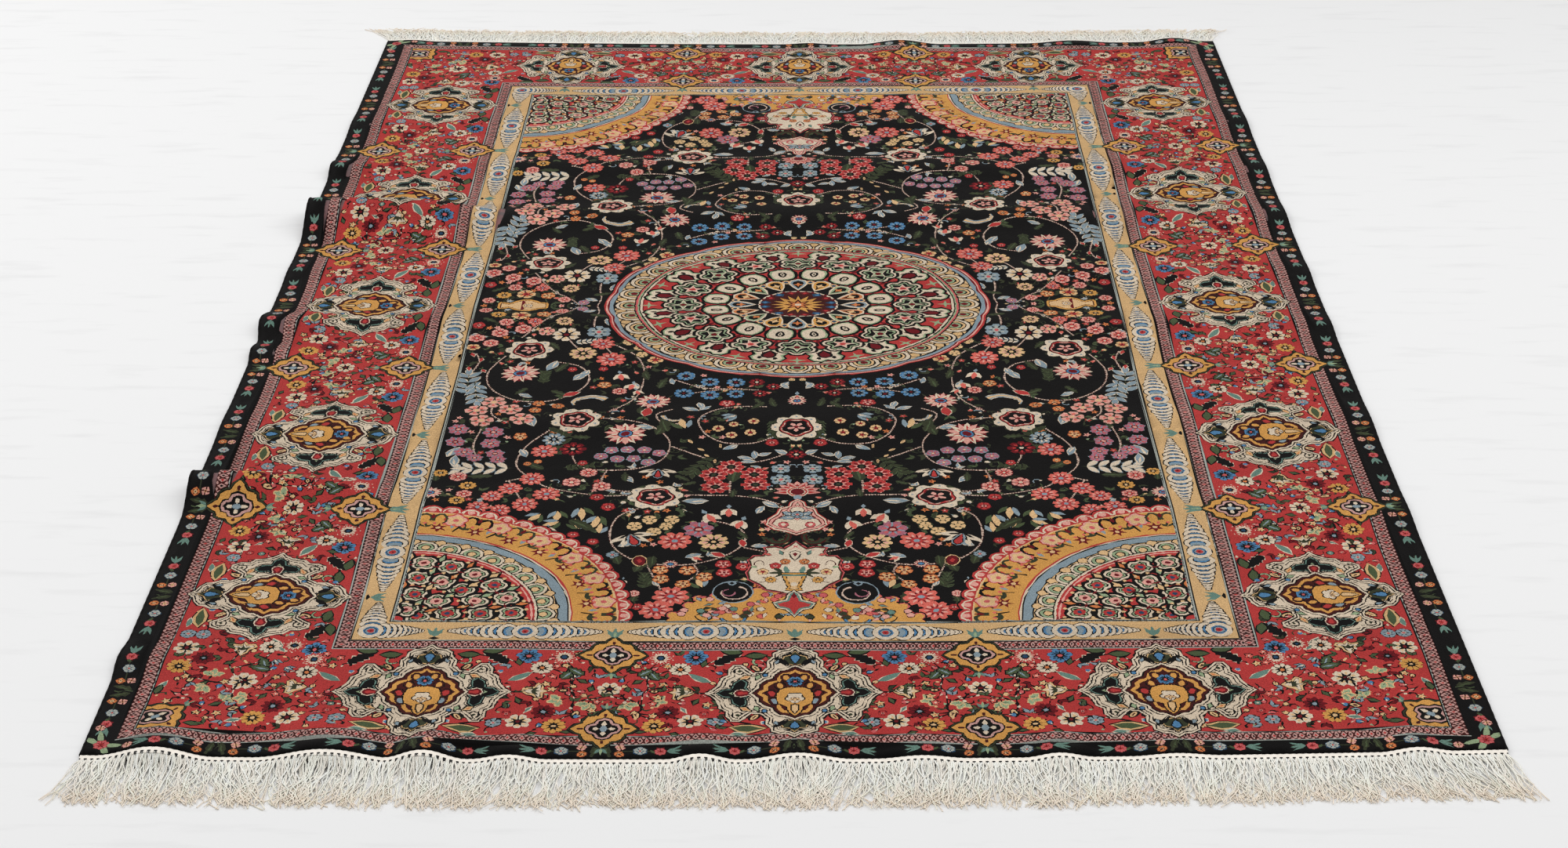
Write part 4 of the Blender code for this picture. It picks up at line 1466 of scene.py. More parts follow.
GROUND_STEP = 16.0
ROUND_CLEAR = 1.05
MIDDLE_CLEAR = 5.0
FRAME_CLEAR = 6.0
MOUND_SEED = 5
FIELD_SPRIGS = (
    (leaf_pair, ("black", "olive")), (leaf_pair, ("black", "green")), (leaf_pair, ("olive", "olive")),
    (leaf_pair, ("ivory", "blue_grey")), (comma, ("olive", "pale_green")),
    (leaf_pair, ("green", "olive")), (bud, ("olive", "coral", "pink")),
    (leaf_pair, ("olive", "green")), (small_bloom, ("black", "pink", "red")),
    (comma, ("blue_grey", "ivory")), (bud, ("green", "cream", "red")),
    (small_bloom, ("olive", "red", "pink")), (leaf_pair, ("black", "olive")),
    (bud, ("olive", "ivory", "blue_grey")), (leaf_pair, ("olive", "black")),
    (small_bloom, ("black", "orange", "dark_red")),
)


def in_field(x, y):
    """True on the black ground, outside the medallion and the spandrel."""
    medallion = math.hypot(x / MEDALLION_ACROSS, y / MEDALLION_ALONG)
    spandrel = math.hypot((x - FIELD_X) / SPANDREL_ACROSS, (y - FIELD_Y) / SPANDREL_ALONG)
    if min(medallion, spandrel) <= ROUND_CLEAR:
        return False
    return MIDDLE_CLEAR < x < FIELD_X - FRAME_CLEAR and y < FIELD_Y - FRAME_CLEAR


def fan_palmette(art):
    """The palmette that opens towards the medallion on the middle line."""
    here = placed(0, 672, 180)
    art.paint(here, oval(34, 33, 18), "black")
    for angle in spokes(9, -96, 216):
        petal = placed(turn=angle, within=here)
        layers(art, petal, leaf(35, 13), (1.2, "dark_red"), (0, "pink"), (-3.2, "red"))
    layers(art, here, oval(15, 16, 12), (1.8, "ivory"), (0, "red"), (-3, "ivory"), (-4.5, "dark_red"))
    art.paint(placed(0, -10, 180, within=here), leaf(22, 12), "blue_grey")


def ogival_palmette(art):
    half = [(0, 50), (10, 40), (13, 28), (26, 20), (30, 6), (42, -8), (46, -24), (34, -38), (16, -44),
            (0, -54)]
    layers(art, placed(0, 748, 180), mirrored(half), (1.5, "red"), (0, "ivory"), (-3, "dark_red"),
           (-5, "pink"), (-9, "dark_red"), (-10.5, "ivory"))
    inner = placed(0, 744, 180)
    layers(art, placed(0, 752, 180), drop(42, 30) - (0, 8), (1.4, "dark_red"), (0, "pink"),
           (-3.4, "black"), (-4.6, "ivory"))
    for lean in (-100, -60, 60, 100):
        layers(art, placed(0, -6, lean, within=inner), leaf(26, 10), (1.7, "black"), (0, "blue_grey"))
        art.paint(placed(0, -6, lean, within=inner), leaf(18, 3), "ivory")
    for side in (1, -1):
        small = placed(20 * side, -28, within=inner)
        layers(art, small, lobed(8, 5, 0.3, 3), (1.0, "dark_red"), (0, "rose"), (-3.4, "ivory"))
    flower(art, inner, 11, "grey_flower")
    for side in (-1, 1):
        path = arc(26 * side, 806, 15, 20, 20, 200, 10)
        art.paint(placed(), ribbon(path, 14, 8), "brown_red")
        art.paint(placed(), ribbon(path, 8, 3), "olive")


VASE_HALF = [
    (0, 84), (9, 73), (17, 63), (30, 69), (46, 66), (42, 54), (47, 43), (60, 42), (68, 30), (64, 14),
    (69, -4), (66, -24), (50, -38), (40, -52), (20, -58), (0, -68),
]


VASE_FLOWER_FIELDS = ("x", "y", "size", "kind")
VASE_FLOWER_TABLE = (
    (28, 14, 10, "small_red"), (46, -2, 10, "cream_flower"), (34, -24, 10, "yellow_daisy"),
    (14, 26, 9, "orange_flower"),
)
VASE_FLOWERS = [dict(zip(VASE_FLOWER_FIELDS, row)) for row in VASE_FLOWER_TABLE]


def vase_edge(art, half):
    """Scrolls and leaves just inside one side of the palmette's outline."""
    art.paint(half, ribbon([(-3, 72), (12, 56), (30, 60), (40, 60)], 1.6), "rose")
    art.paint(half, ribbon(arc(52, 20, 7, 9, -60, 200, 8), 1.8, 1.0), "brown_red")
    art.paint(half, ribbon(arc(48, -24, 8, 7, 100, 330, 8), 1.8, 1.0), "brown_red")
    layers(art, placed(18, 44, -20, within=half), leaf(16, 6), (1.0, "brown_red"), (0, "teal"))
    layers(art, placed(34, 44, -70, within=half), leaf(14, 6), (1.0, "brown_red"), (0, "coral"))


def vase_bunch(art, half):
    """The flowers and leaves at one side of the vase."""
    for row in VASE_FLOWERS:
        flower(art, placed(row["x"], row["y"], within=half), row["size"], row["kind"])
    for turn, reach in ((-50, 20), (-95, 24), (-140, 18)):
        art.paint(placed(16, -4, turn, within=half), leaf(reach, 7), "olive")
    art.paint(placed(54, 8, -60, within=half), leaf(12, 6), "pale_green")
    layers(art, placed(9, -8, -14, within=half), leaf(22, 9), (1.0, "ivory"), (0, "teal"))


def vase_palmette(art):
    """The large palmette with a vase that stands on the yellow mound."""
    here = placed(0, 906, 180)
    mound(art)
    layers(art, here, mirrored(VASE_HALF), (3.2, "black"), (2.0, "rose"), (0.4, "dark_red"),
           (-1.2, "olive"), (-2.8, "ivory"))
    for side in (1, -1):
        vase_edge(art, placed(wide=side, within=here))
    for side in (1, -1):
        vase_bunch(art, placed(wide=side, within=here))
    layers(art, placed(0, 30, within=here), drop(26, 15), (2.1, "black"), (0, "ivory"), (-4, "dark_red"))
    bowl = mirrored([(0, 2), (18, 2), (15, -10), (11, -26), (8, -36), (12, -44), (0, -46)])
    layers(art, placed(0, -8, within=here), bowl, (2.1, "black"), (0, "yellow"), (-3.6, "black"),
           (-4.6, "cream"))
    art.paint(placed(0, -10, within=here), block(-17, -3, 34, 3), "teal")
    art.paint(placed(0, -36, within=here), oval(5, 6, 8), "ivory")
    foot = mirrored([(0, 34), (9, 22), (12, 8), (30, 0), (24, -14), (12, -18), (0, -38)])
    layers(art, placed(0, 992, 180), foot, (2.3, "black"), (0, "ivory"), (-2.4, "teal"), (-6.0, "red"))
    art.paint(placed(0, 980, 180), leaf(18, 8), "dark_red")


MOUND_HALF = (
    (0, 958), (30, 950), (52, 960), (70, 975), (96, 985), (112, 975), (136, 982), (150, 1000),
    (172, 1026), (190, 1060), (0, 1060),
)
MOUND_PIECES = 80
MOUND_INKS = ("rose", "pink", "olive", "blue_grey", "coral", "ivory", "teal")
MOUND_RIMS = ("brown_red", "black", "dark_red")
CURL_X = 88.0
CURL_Y = 964.0
CURL_CLEAR = 38.0


def on_mound(x, y):
    """True inside the mound, away from its dark curl."""
    return math.hypot(x - CURL_X, y - CURL_Y) >= CURL_CLEAR and y >= 982 + (x - 130) * 1.1


def mound_half(art, half, chance):
    """Small flowers and leaves on one side of the mound, its blue arch and the dark curl."""
    for i in range(MOUND_PIECES):
        x, y = chance.uniform(14, 165), chance.uniform(966, 1030)
        if not on_mound(x, y):
            continue
        here = placed(x, y, chance.uniform(0, 360), within=half)
        shape = lobed(6.0, 5, 0.3, 3) if i % 2 else leaf(15, 6)
        layers(art, here, shape, (1.2, MOUND_RIMS[i % 3]), (0, MOUND_INKS[i % 7]))
    arch_path = arc(86, 1034, 17, 12, 0, 180, 10)
    art.paint(half, ribbon(arch_path, 6), "black")
    art.paint(half, ribbon(arch_path, 3.6), "blue")
    art.paint(half, ribbon(arc(128, 1020, 14, 22, 20, 160, 8), 2), "black")
    curl = placed(CURL_X, CURL_Y, within=half)
    art.paint(curl, oval(30, corners=18), "blue_grey")
    art.paint(curl, oval(28, corners=18), "black")
    art.paint(curl, ribbon(arc(-2, 2, 19, 18, 250, -20, 14), 3.4, 1.6), "vine")
    art.paint(curl, ribbon(arc(6, 2, 9, 9, 190, -90, 9), 2.6, 1.2), "mauve")
    art.paint(placed(2, -24, within=curl), oval(7, 6, 8), "blue_grey")
    art.paint(placed(2, -24, within=curl), oval(4, 3, 8), "black")


def mound(art):
    """The yellow mound with a scalloped edge, under the vase."""
    outline = mirrored(MOUND_HALF)
    layers(art, placed(), outline, (2.5, "black"), (0.6, "red"))
    for side in (1, -1):
        for x, y in MOUND_HALF[1:-2]:
            scallop = placed(x, y, within=placed(wide=side))
            layers(art, scallop, oval(9, corners=9), (2.5, "black"), (0, "rose"), (-2, "yellow"))
    layers(art, placed(), outline, (-1.0, "yellow"))
    chance = random.Random(MOUND_SEED)
    for side in (1, -1):
        mound_half(art, placed(wide=side), chance)


SIDE_VASE_FIELDS = ("x", "y", "kind", "size")
SIDE_VASE_TABLE = (
    (478, 48, "cream_flower", 18), (440, 42, "orange_flower", 14), (516, 44, "yellow_daisy", 15),
    (540, 22, "pink_flower", 13), (410, 26, "pink_flower", 13), (500, 76, "pink_flower", 14),
    (452, 74, "coral_flower", 15), (402, 72, "cream_daisy", 17), (545, 86, "small_red", 12),
    (375, 14, "small_mauve", 11),
)
SIDE_VASE_FLOWERS = [dict(zip(SIDE_VASE_FIELDS, row)) for row in SIDE_VASE_TABLE]


def side_vase(art):
    """The vase that lies on the long middle line by each side, with a flower above and below."""
    here = placed(478, 0, 90)
    body = mirrored([(0, 42), (12, 40), (14, 28), (24, 14), (26, -2), (18, -16), (10, -26), (16, -40),
                     (0, -44)])
    layers(art, here, smooth(body, 2), (2.3, "black"), (0, "yellow"), (-4, "brown_red"), (-5.2, "cream"))
    art.paint(here, block(-20, -4, 40, 5), "dark_red")
    rose(art, placed(0, 8, within=here), 11)
    for up in (1, -1):
        for row in SIDE_VASE_FLOWERS:
            flower(art, placed(row["x"], row["y"] * up, 20), row["size"], row["kind"])


def centre_line(art):
    fan_palmette(art)
    ogival_palmette(art)
    vase_palmette(art)


def field(art):
    art.paint(placed(), block(-20, -20, FIELD_X + 30, FIELD_Y + 30), "black")
    art.taken = [(row["x"], row["y"], row["size"]) for row in FIELD_PIECES]
    sprinkle(art, in_field, GROUND_STEP, FIELD_SPRIGS)
    art.taken = []
    for points in FIELD_VINES:
        field_vine(art, points)
    for row in FIELD_PIECES:
        for side in ((1, -1) if row["x"] < row["size"] else (1,)):
            here = placed(row["x"] * side, row["y"], row["turn"] * side)
            motif(art, here, row["kind"], row["size"])
    side_vase(art)
    centre_line(art)
    corner_spandrel(art)
    central_medallion(art)


def draw_pattern():
    """The whole quarter, from the field outwards; each band covers what overhangs it."""
    art = Pattern()
    field(art)
    band(art, MAIN_BAND)
    main_border(art)
    for number in range(len(BANDS)):
        if number != MAIN_BAND:
            band(art, number)
    black_guard(art)
    beige_guard(art)
    lattices(art)
    medallions(art)
    return art


# The pattern as a mesh
KNOT = 2.0
GRID_COLUMNS = 61
GRID_ROWS = 91
ROUNDING = 2
MERGE = 0.001


def ink_at(art, points):
    """The silk of the top shape at each point."""
    order = np.argsort(points[:, 0])
    xs, ys = points[order, 0], points[order, 1]
    ink = np.full(len(points), -1)
    for outline, colour in zip(art.outlines, art.inks):
        low, high = outline.min(axis=0), outline.max(axis=0)
        first, last = np.searchsorted(xs, (low[0], high[0]))
        near = first + np.flatnonzero((ys[first:last] > low[1]) & (ys[first:last] < high[1]))
        if not len(near):
            continue
        px, py = xs[near], ys[near]
        inside = np.zeros(len(near), bool)
        for (x0, y0), (x1, y1) in zip(outline, np.roll(outline, -1, axis=0)):
            if y0 != y1:
                crossed = (y0 > py) != (y1 > py)
                inside ^= crossed & (px < (x1 - x0) * (py - y0) / (y1 - y0) + x0)
        ink[near[inside]] = colour
    result = np.empty(len(points), int)
    result[order] = ink
    return result


def triangulated(points, edges):
    """Points and triangles of a mesh that keeps every edge."""
    made = delaunay_2d_cdt([Vector(p) for p in points], edges, [], 0, MERGE, False)
    triangles = np.array([face for face in made[2] if len(face) == 3])
    return np.array([tuple(vert) for vert in made[0]]), triangles


def all_edges(art):
    """Every outline's points and edges."""
    edges = []
    at = 0
    for outline in art.outlines:
        count = len(outline)
        edges += [(at + i, at + (i + 1) % count) for i in range(count)]
        at += count
    return np.round(np.concatenate(art.outlines), ROUNDING), edges


def colour_boundaries(triangles, inks):
    """Edges with a different silk on each side."""
    edges = np.sort(np.concatenate([triangles[:, [0, 1]], triangles[:, [1, 2]], triangles[:, [2, 0]]]))
    edges = np.sort(edges, axis=1)
    owner = np.tile(np.arange(len(triangles)), 3)
    order = np.lexsort((edges[:, 1], edges[:, 0]))
    edges, owner = edges[order], owner[order]
    twins = np.flatnonzero((edges[1:] == edges[:-1]).all(axis=1))
    return edges[twins[inks[owner[twins]] != inks[owner[twins + 1]]]]


def quarter_mesh(art):
    """Points, triangles and silks of one quarter: only edges that show are kept, at knot size."""
    points, triangles = triangulated(*all_edges(art))
    inks = ink_at(art, points[triangles].mean(axis=1))
    edges = colour_boundaries(triangles, inks)
    ends = np.round(points[edges].reshape(-1, 2) / KNOT) * KNOT
    ends = np.clip(ends, 0, (HALF_WIDTH, HALF_LENGTH))
    ends, numbers = np.unique(ends, axis=0, return_inverse=True)
    pairs = np.sort(numbers.reshape(-1, 2), axis=1)
    pairs = np.unique(pairs[pairs[:, 0] != pairs[:, 1]], axis=0)
    across, along = np.meshgrid(
        np.linspace(0, HALF_WIDTH, GRID_COLUMNS), np.linspace(0, HALF_LENGTH, GRID_ROWS)
    )
    grid = np.stack([across.ravel(), along.ravel()], axis=1)
    points, triangles = triangulated(np.concatenate([ends, grid]), [tuple(map(int, p)) for p in pairs])
    inks = np.maximum(ink_at(art, points[triangles].mean(axis=1)), 0)
    return points, triangles, inks


def linear(value):
    value = value / 255
    return value / 12.92 if value <= 0.04045 else ((value + 0.055) / 1.055) ** 2.4


INK_COLOURS = np.array([[linear(v) for v in row[1:]] + [1.0] for row in INK_TABLE])
ROOT_DEPTH = 0.0006


def add_mesh(name, points, faces, material, smooth_shade=True):
    """A new piece from arrays of points and of faces with the same number of corners."""
    points = np.asarray(points, np.float32)
    faces = np.asarray(faces, np.int32)
    mesh = bpy.data.meshes.new(name)
    mesh.vertices.add(len(points))
    mesh.vertices.foreach_set("co", points.ravel())
    mesh.loops.add(faces.size)
    mesh.loops.foreach_set("vertex_index", faces.ravel())
    mesh.polygons.add(len(faces))
    mesh.polygons.foreach_set("loop_start", np.arange(0, faces.size, faces.shape[1], dtype=np.int32))
    mesh.update(calc_edges=True)
    mesh.validate()
    if smooth_shade:
        mesh.shade_smooth()
    mesh.materials.append(material)
    piece = bpy.data.objects.new(name, mesh)
    bpy.context.scene.collection.objects.link(piece)
    return piece


def set_uv(mesh, uv):
    """A UV map from one row for each point."""
    corners = np.empty(len(mesh.loops), np.int32)
    mesh.loops.foreach_get("vertex_index", corners)
    layer = mesh.uv_layers.new(name="OFBake")
    layer.data.foreach_set("uv", np.asarray(uv, np.float32)[corners].ravel())


def set_inks(mesh, inks, corners=3):
    layer = mesh.color_attributes.new("Silk", "BYTE_COLOR", "CORNER")
    colours = np.repeat(INK_COLOURS[inks], corners, axis=0)
    layer.data.foreach_set("color", colours.astype(np.float32).ravel())


WOBBLE = 0.8
CALM_REACH = 60
WOBBLE_TABLE = ((0.0131, 0.0083, 0.4), (0.0072, -0.0167, 2.1), (-0.0243, 0.0119, 4.0))


def wobbled(x, y):
    """The slight unevenness of handwork, in millimetres: none at the rug's edges."""
    side = np.clip((HALF_WIDTH - np.abs(x)) / CALM_REACH, 0, 1)
    calm = side * np.clip((HALF_LENGTH - np.abs(y)) / CALM_REACH, 0, 1)
    shift_x = sum(np.sin(a * x + b * y + c) for a, b, c in WOBBLE_TABLE)
    shift_y = sum(np.cos(b * x - a * y + 2 * c) for a, b, c in WOBBLE_TABLE)
    return x + WOBBLE * calm * shift_x, y + WOBBLE * calm * shift_y


QUARTERS = (("pile_front_left", -1, -1), ("pile_front_right", 1, -1), ("pile_back_left", -1, 1),
            ("pile_back_right", 1, 1))


RIM_SLACK = 0.01


def rim_loop(points, triangles):
    """Edges of the mesh that lie on the rug's outer sides, in their faces' order."""
    edges = np.concatenate([triangles[:, [0, 1]], triangles[:, [1, 2]], triangles[:, [2, 0]]])
    both_x = (points[edges][:, :, 0] > HALF_WIDTH - RIM_SLACK).all(axis=1)
    both_y = (points[edges][:, :, 1] > HALF_LENGTH - RIM_SLACK).all(axis=1)
    return edges[both_x | both_y]


def pile_quarter(name, side, end, quarter, material):
    """One quarter of the pile: its top, and a skirt down the rug's outer edges."""
    points, triangles, inks = quarter
    x, y = wobbled(points[:, 0] * side, points[:, 1] * end)
    x, y = x * MILLIMETRE, y * MILLIMETRE
    if side * end < 0:
        triangles = triangles[:, ::-1]
    rim = rim_loop(points, triangles)
    used, numbers = np.unique(rim, return_inverse=True)
    numbers = numbers.reshape(-1, 2) + len(points)
    low_left = np.stack([rim[:, 1], rim[:, 0], numbers[:, 0]], axis=1)
    low_right = np.stack([rim[:, 1], numbers[:, 0], numbers[:, 1]], axis=1)
    height = np.full(len(x), PILE_THICKNESS)
    top = laid(x, y, height)
    skirt = laid(x[used], y[used], np.full(len(used), ROOT_DEPTH))
    faces = np.concatenate([triangles, low_left, low_right])
    dark = np.full(2 * len(rim), INKS["black"])
    piece = add_mesh(name, np.concatenate([top, skirt]), faces, material)
    uv = np.stack([points[:, 0] / HALF_WIDTH, points[:, 1] / HALF_LENGTH], axis=1)
    set_uv(piece.data, np.concatenate([uv, uv[used]]))
    set_inks(piece.data, np.concatenate([inks, dark]))
    return piece


# Materials
def new_material(name):
    material = bpy.data.materials.new(name)
    material.use_nodes = True
    return material, material.node_tree.nodes, material.node_tree.links


def node(nodes, kind, **inputs):
    made = nodes.new(kind)
    for key, value in inputs.items():
        made.inputs[key].default_value = value
    return made


def scaled_place(nodes, links, scale):
    """Object coordinates, stretched."""
    coordinates = nodes.new("ShaderNodeTexCoord")
    mapping = nodes.new("ShaderNodeMapping")
    mapping.inputs["Scale"].default_value = scale
    links.new(coordinates.outputs["Object"], mapping.inputs["Vector"])
    return mapping.outputs["Vector"]


def noise(nodes, links, scale, detail=2.0, stretch=(1, 1, 1)):
    made = node(nodes, "ShaderNodeTexNoise", Scale=scale, Detail=detail)
    links.new(scaled_place(nodes, links, stretch), made.inputs["Vector"])
    return made.outputs["Fac"]


def ramp(nodes, links, source, low, high, from_low=0.3, from_high=0.7):
    """Maps a texture to a span of values."""
    made = node(nodes, "ShaderNodeMapRange")
    made.inputs["From Min"].default_value = from_low
    made.inputs["From Max"].default_value = from_high
    made.inputs["To Min"].default_value = low
    made.inputs["To Max"].default_value = high
    links.new(source, made.inputs["Value"])
    return made.outputs["Result"]


def times(nodes, links, colour, factor):
    """A colour made lighter or darker by a texture."""
    made = nodes.new("ShaderNodeVectorMath")
    made.operation = "SCALE"
    links.new(colour, made.inputs[0])
    links.new(factor, made.inputs["Scale"])
    return made.outputs["Vector"]


def silk_pile():
    """Cut silk: dyed knots with small shade differences, slow bands in the dye and a soft sheen."""
    material, nodes, links = new_material("silk_pile")
    shader = nodes["Principled BSDF"]
    silk = nodes.new("ShaderNodeVertexColor")
    silk.layer_name = "Silk"
    knots = ramp(nodes, links, noise(nodes, links, 520.0, 1.0), 0.62, 1.04)
    bands = ramp(nodes, links, noise(nodes, links, 1.0, 3.0, (2.5, 22.0, 2.5)), 0.93, 1.08)
    patches = ramp(nodes, links, noise(nodes, links, 9.0, 3.0), 0.94, 1.07)
    colour = times(nodes, links, silk.outputs["Color"], knots)
    colour = times(nodes, links, colour, bands)
    colour = times(nodes, links, colour, patches)
    links.new(colour, shader.inputs["Base Color"])
    shader.inputs["Roughness"].default_value = 0.72
    shader.inputs["Specular IOR Level"].default_value = 0.06
    shader.inputs["Sheen Weight"].default_value = 0.02
    shader.inputs["Sheen Roughness"].default_value = 0.45
    shader.inputs["Sheen Tint"].default_value = (0.95, 0.90, 0.85, 1.0)
    bump = node(nodes, "ShaderNodeBump", Strength=0.55, Distance=0.0009)
    links.new(noise(nodes, links, 620.0, 2.0), bump.inputs["Height"])
    nap = node(nodes, "ShaderNodeBump", Strength=0.25, Distance=0.004)
    links.new(noise(nodes, links, 60.0, 3.0, (1, 0.6, 1)), nap.inputs["Height"])
    links.new(nap.outputs["Normal"], bump.inputs["Normal"])
    links.new(bump.outputs["Normal"], shader.inputs["Normal"])
    return material


def warp_material(name):
    """Off-white warp yarn, a little uneven."""
    material, nodes, links = new_material(name)
    shader = nodes["Principled BSDF"]
    tint = nodes.new("ShaderNodeVertexColor")
    tint.layer_name = "Silk"
    shade = ramp(nodes, links, noise(nodes, links, 120.0, 3.0), 0.92, 1.06)
    fine = ramp(nodes, links, noise(nodes, links, 900.0, 1.0), 0.92, 1.05)
    colour_out = times(nodes, links, tint.outputs["Color"], shade)
    colour_out = times(nodes, links, colour_out, fine)
    links.new(colour_out, shader.inputs["Base Color"])
    shader.inputs["Roughness"].default_value = 0.7
    shader.inputs["Specular IOR Level"].default_value = 0.3
    shader.inputs["Sheen Weight"].default_value = 0.25
    shader.inputs["Sheen Roughness"].default_value = 0.5
    bump = node(nodes, "ShaderNodeBump", Strength=0.5, Distance=0.0006)
    links.new(noise(nodes, links, 900.0, 2.0), bump.inputs["Height"])
    links.new(bump.outputs["Normal"], shader.inputs["Normal"])
    return material


def back_material():
    """The knotted back: the pattern's ground colours, dull and ribbed."""
    material, nodes, links = new_material("silk_back")
    shader = nodes["Principled BSDF"]
    mix = nodes.new("ShaderNodeMix")
    mix.data_type = "RGBA"
    mix.inputs["A"].default_value = (0.26, 0.10, 0.10, 1.0)
    mix.inputs["B"].default_value = (0.10, 0.08, 0.08, 1.0)
    links.new(ramp(nodes, links, noise(nodes, links, 30.0, 4.0), 0.0, 1.0), mix.inputs["Factor"])
    fine = ramp(nodes, links, noise(nodes, links, 700.0, 1.0, (1, 2.5, 1)), 0.75, 1.2)
    links.new(times(nodes, links, mix.outputs["Result"], fine), shader.inputs["Base Color"])
    shader.inputs["Roughness"].default_value = 0.75
    bump = node(nodes, "ShaderNodeBump", Strength=0.6, Distance=0.0008)
    links.new(noise(nodes, links, 700.0, 1.0, (1, 2.5, 1)), bump.inputs["Height"])
    links.new(bump.outputs["Normal"], shader.inputs["Normal"])
    return material


def floor_material():
    """A plain floor, close to white, with faint streaks."""
    material, nodes, links = new_material("pale_floor")
    shader = nodes["Principled BSDF"]
    mix = nodes.new("ShaderNodeMix")
    mix.data_type = "RGBA"
    mix.inputs["A"].default_value = (0.83, 0.83, 0.83, 1.0)
    mix.inputs["B"].default_value = (0.74, 0.74, 0.74, 1.0)
    streak = ramp(nodes, links, noise(nodes, links, 6.0, 8.0, (1, 6, 1)), 0.0, 1.0, 0.55, 0.85)
    links.new(streak, mix.inputs["Factor"])
    links.new(mix.outputs["Result"], shader.inputs["Base Color"])
    shader.inputs["Roughness"].default_value = 0.55
    return material


# Foundation
SLAB_COLUMNS = 62
SLAB_ROWS = 122
SLAB_THICKNESS = 0.0012


def foundation(material):
    """The woven ground that the knots are tied on: a closed thin sheet the size of the rug."""
    across = np.linspace(-WIDTH / 2, WIDTH / 2, SLAB_COLUMNS)
    along = np.linspace(-PILE_LENGTH / 2, PILE_LENGTH / 2, SLAB_ROWS)
    x, y = (grid.ravel() for grid in np.meshgrid(across, along))
    count = SLAB_COLUMNS * SLAB_ROWS
    under = laid(x, y, np.zeros(count))
    over = laid(x, y, np.full(count, SLAB_THICKNESS))
    corner = np.arange(count).reshape(SLAB_ROWS, SLAB_COLUMNS)
    quads = np.stack([corner[:-1, :-1], corner[:-1, 1:], corner[1:, 1:], corner[1:, :-1]], axis=-1)
    quads = quads.reshape(-1, 4)
    loop = np.concatenate([corner[0, :-1], corner[:-1, -1], corner[-1, :0:-1], corner[:0:-1, 0]])
    ahead = np.roll(loop, -1)
    walls = np.stack([loop, ahead, ahead + count, loop + count], axis=1)
    faces = np.concatenate([quads[:, ::-1], quads + count, walls])
    return add_mesh("foundation", np.concatenate([under, over]), faces, material)


# Tubes
def tubes(paths, radii, sides, flat=1.0):
    """One mesh of many tubes. paths: tube, point, xyz; radii: tube, point."""
    count, length, _ = paths.shape
    ahead = np.gradient(paths, axis=1)
    ahead /= np.maximum(np.linalg.norm(ahead, axis=2, keepdims=True), 1e-9)
    up = np.zeros_like(ahead)
    up[..., 2] = 1.0
    right = np.cross(ahead, up)
    right /= np.maximum(np.linalg.norm(right, axis=2, keepdims=True), 1e-9)
    top = np.cross(right, ahead)
    rings = []
    for k in range(sides):
        angle = FULL_TURN * (k + 0.25) / sides
        offset = math.cos(angle) * right + math.sin(angle) * flat * top
        rings.append(paths + radii[..., None] * offset)
    points = np.stack(rings, axis=2).reshape(-1, 3)
    number = np.arange(count * length * sides).reshape(count, length, sides)
    low, high = number[:, :-1], number[:, 1:]
    quads = np.stack([low, np.roll(low, -1, axis=2), np.roll(high, -1, axis=2), high], axis=-1)
    return points, quads.reshape(-1, 4)


SELVEDGE_RADIUS = 0.0028
SELVEDGE_POINTS = 460
SELVEDGE_LIFT = 0.0003
TWIST_DEPTH = 0.0002
TWIST_PITCH = 0.0046
SELVEDGE_INSET = 0.0005


def selvedges(material):
    """The cord overcast with dark silk along each long edge."""
    y = np.linspace(-PILE_LENGTH / 2, PILE_LENGTH / 2, SELVEDGE_POINTS)
    made = []
    for name, side in (("selvedge_left", -1), ("selvedge_right", 1)):
        x = np.full(len(y), side * (WIDTH / 2 - SELVEDGE_INSET))
        path = laid(x, y, np.full(len(y), SELVEDGE_RADIUS + SELVEDGE_LIFT))
        twist = TWIST_DEPTH * np.sin(y * FULL_TURN / TWIST_PITCH)
        points, quads = tubes(path[None], (SELVEDGE_RADIUS + twist)[None], 8)
        piece = add_mesh(name, points, quads, material)
        set_inks(piece.data, np.full(len(piece.data.polygons), INKS["black"]), 4)
        made.append(piece)
    return made


# Woven ends and fringe
BUNDLES = 219
THREADS = 8
THREAD_POINTS = 9
THREAD_RADIUS = 0.00100
BUNDLE_NECK = 0.002
FRONT_LENGTH = 0.102
BACK_LENGTH = 0.090
CORNER_SPREAD = 0.014
SPREAD_POWER = 7
TUFTS = 76
BUNDLE_LEAN = 0.0075
THREAD_LEAN = 0.0095
LEAN_POWER = 1.3
CURL = 0.0062
CURL_TURNS = 11.0
ROOT_SPREAD = 0.30
OPENING = 1.5
OPENING_LENGTH = 0.008
SHORTEST_BUNDLE = 0.93
SHORTEST_THREAD = 0.84
HOOK = 0.006
HOOK_FROM = 0.75
HOOK_PULL = 3
FALL_RATE = 3.6
HEAP = 0.0060
HEAP_LOSS = 0.55
ROOT_LIFT = 0.0030
TAPER = 0.3
THINNEST = 0.85
THICKEST = 1.25
TUFT_LEAN = 0.014
STRIP_REACH = 0.0100
YARN = (255, 249, 238)
YARN_TIP = (250, 232, 210)


# Rows of the woven end: out, height, silk, and the silk of the gaps between bundles, where black is
# painted shade
STRIP_FIELDS = ("out", "height", "ink", "gap_shade_ink")
STRIP_TABLE = (
    (-0.0012, 0.0010, "woven", "woven"),
    (0.0012, 0.0042, "woven", "woven"),
    (0.0034, 0.0038, "woven", "woven"),
    (0.0056, 0.0042, "woven", "woven"),
    (0.0078, 0.0040, "woven", "black"),
    (0.0100, 0.0036, "woven", "black"),
    (0.0122, 0.0030, "woven", "black"),
)
STRIP_ROWS = [dict(zip(STRIP_FIELDS, row)) for row in STRIP_TABLE]
COLUMNS_A_BUNDLE = 4
GAP_DROP = 0.0016
RIB_HEIGHT = 0.00025
GAPS_FROM = 0.0080


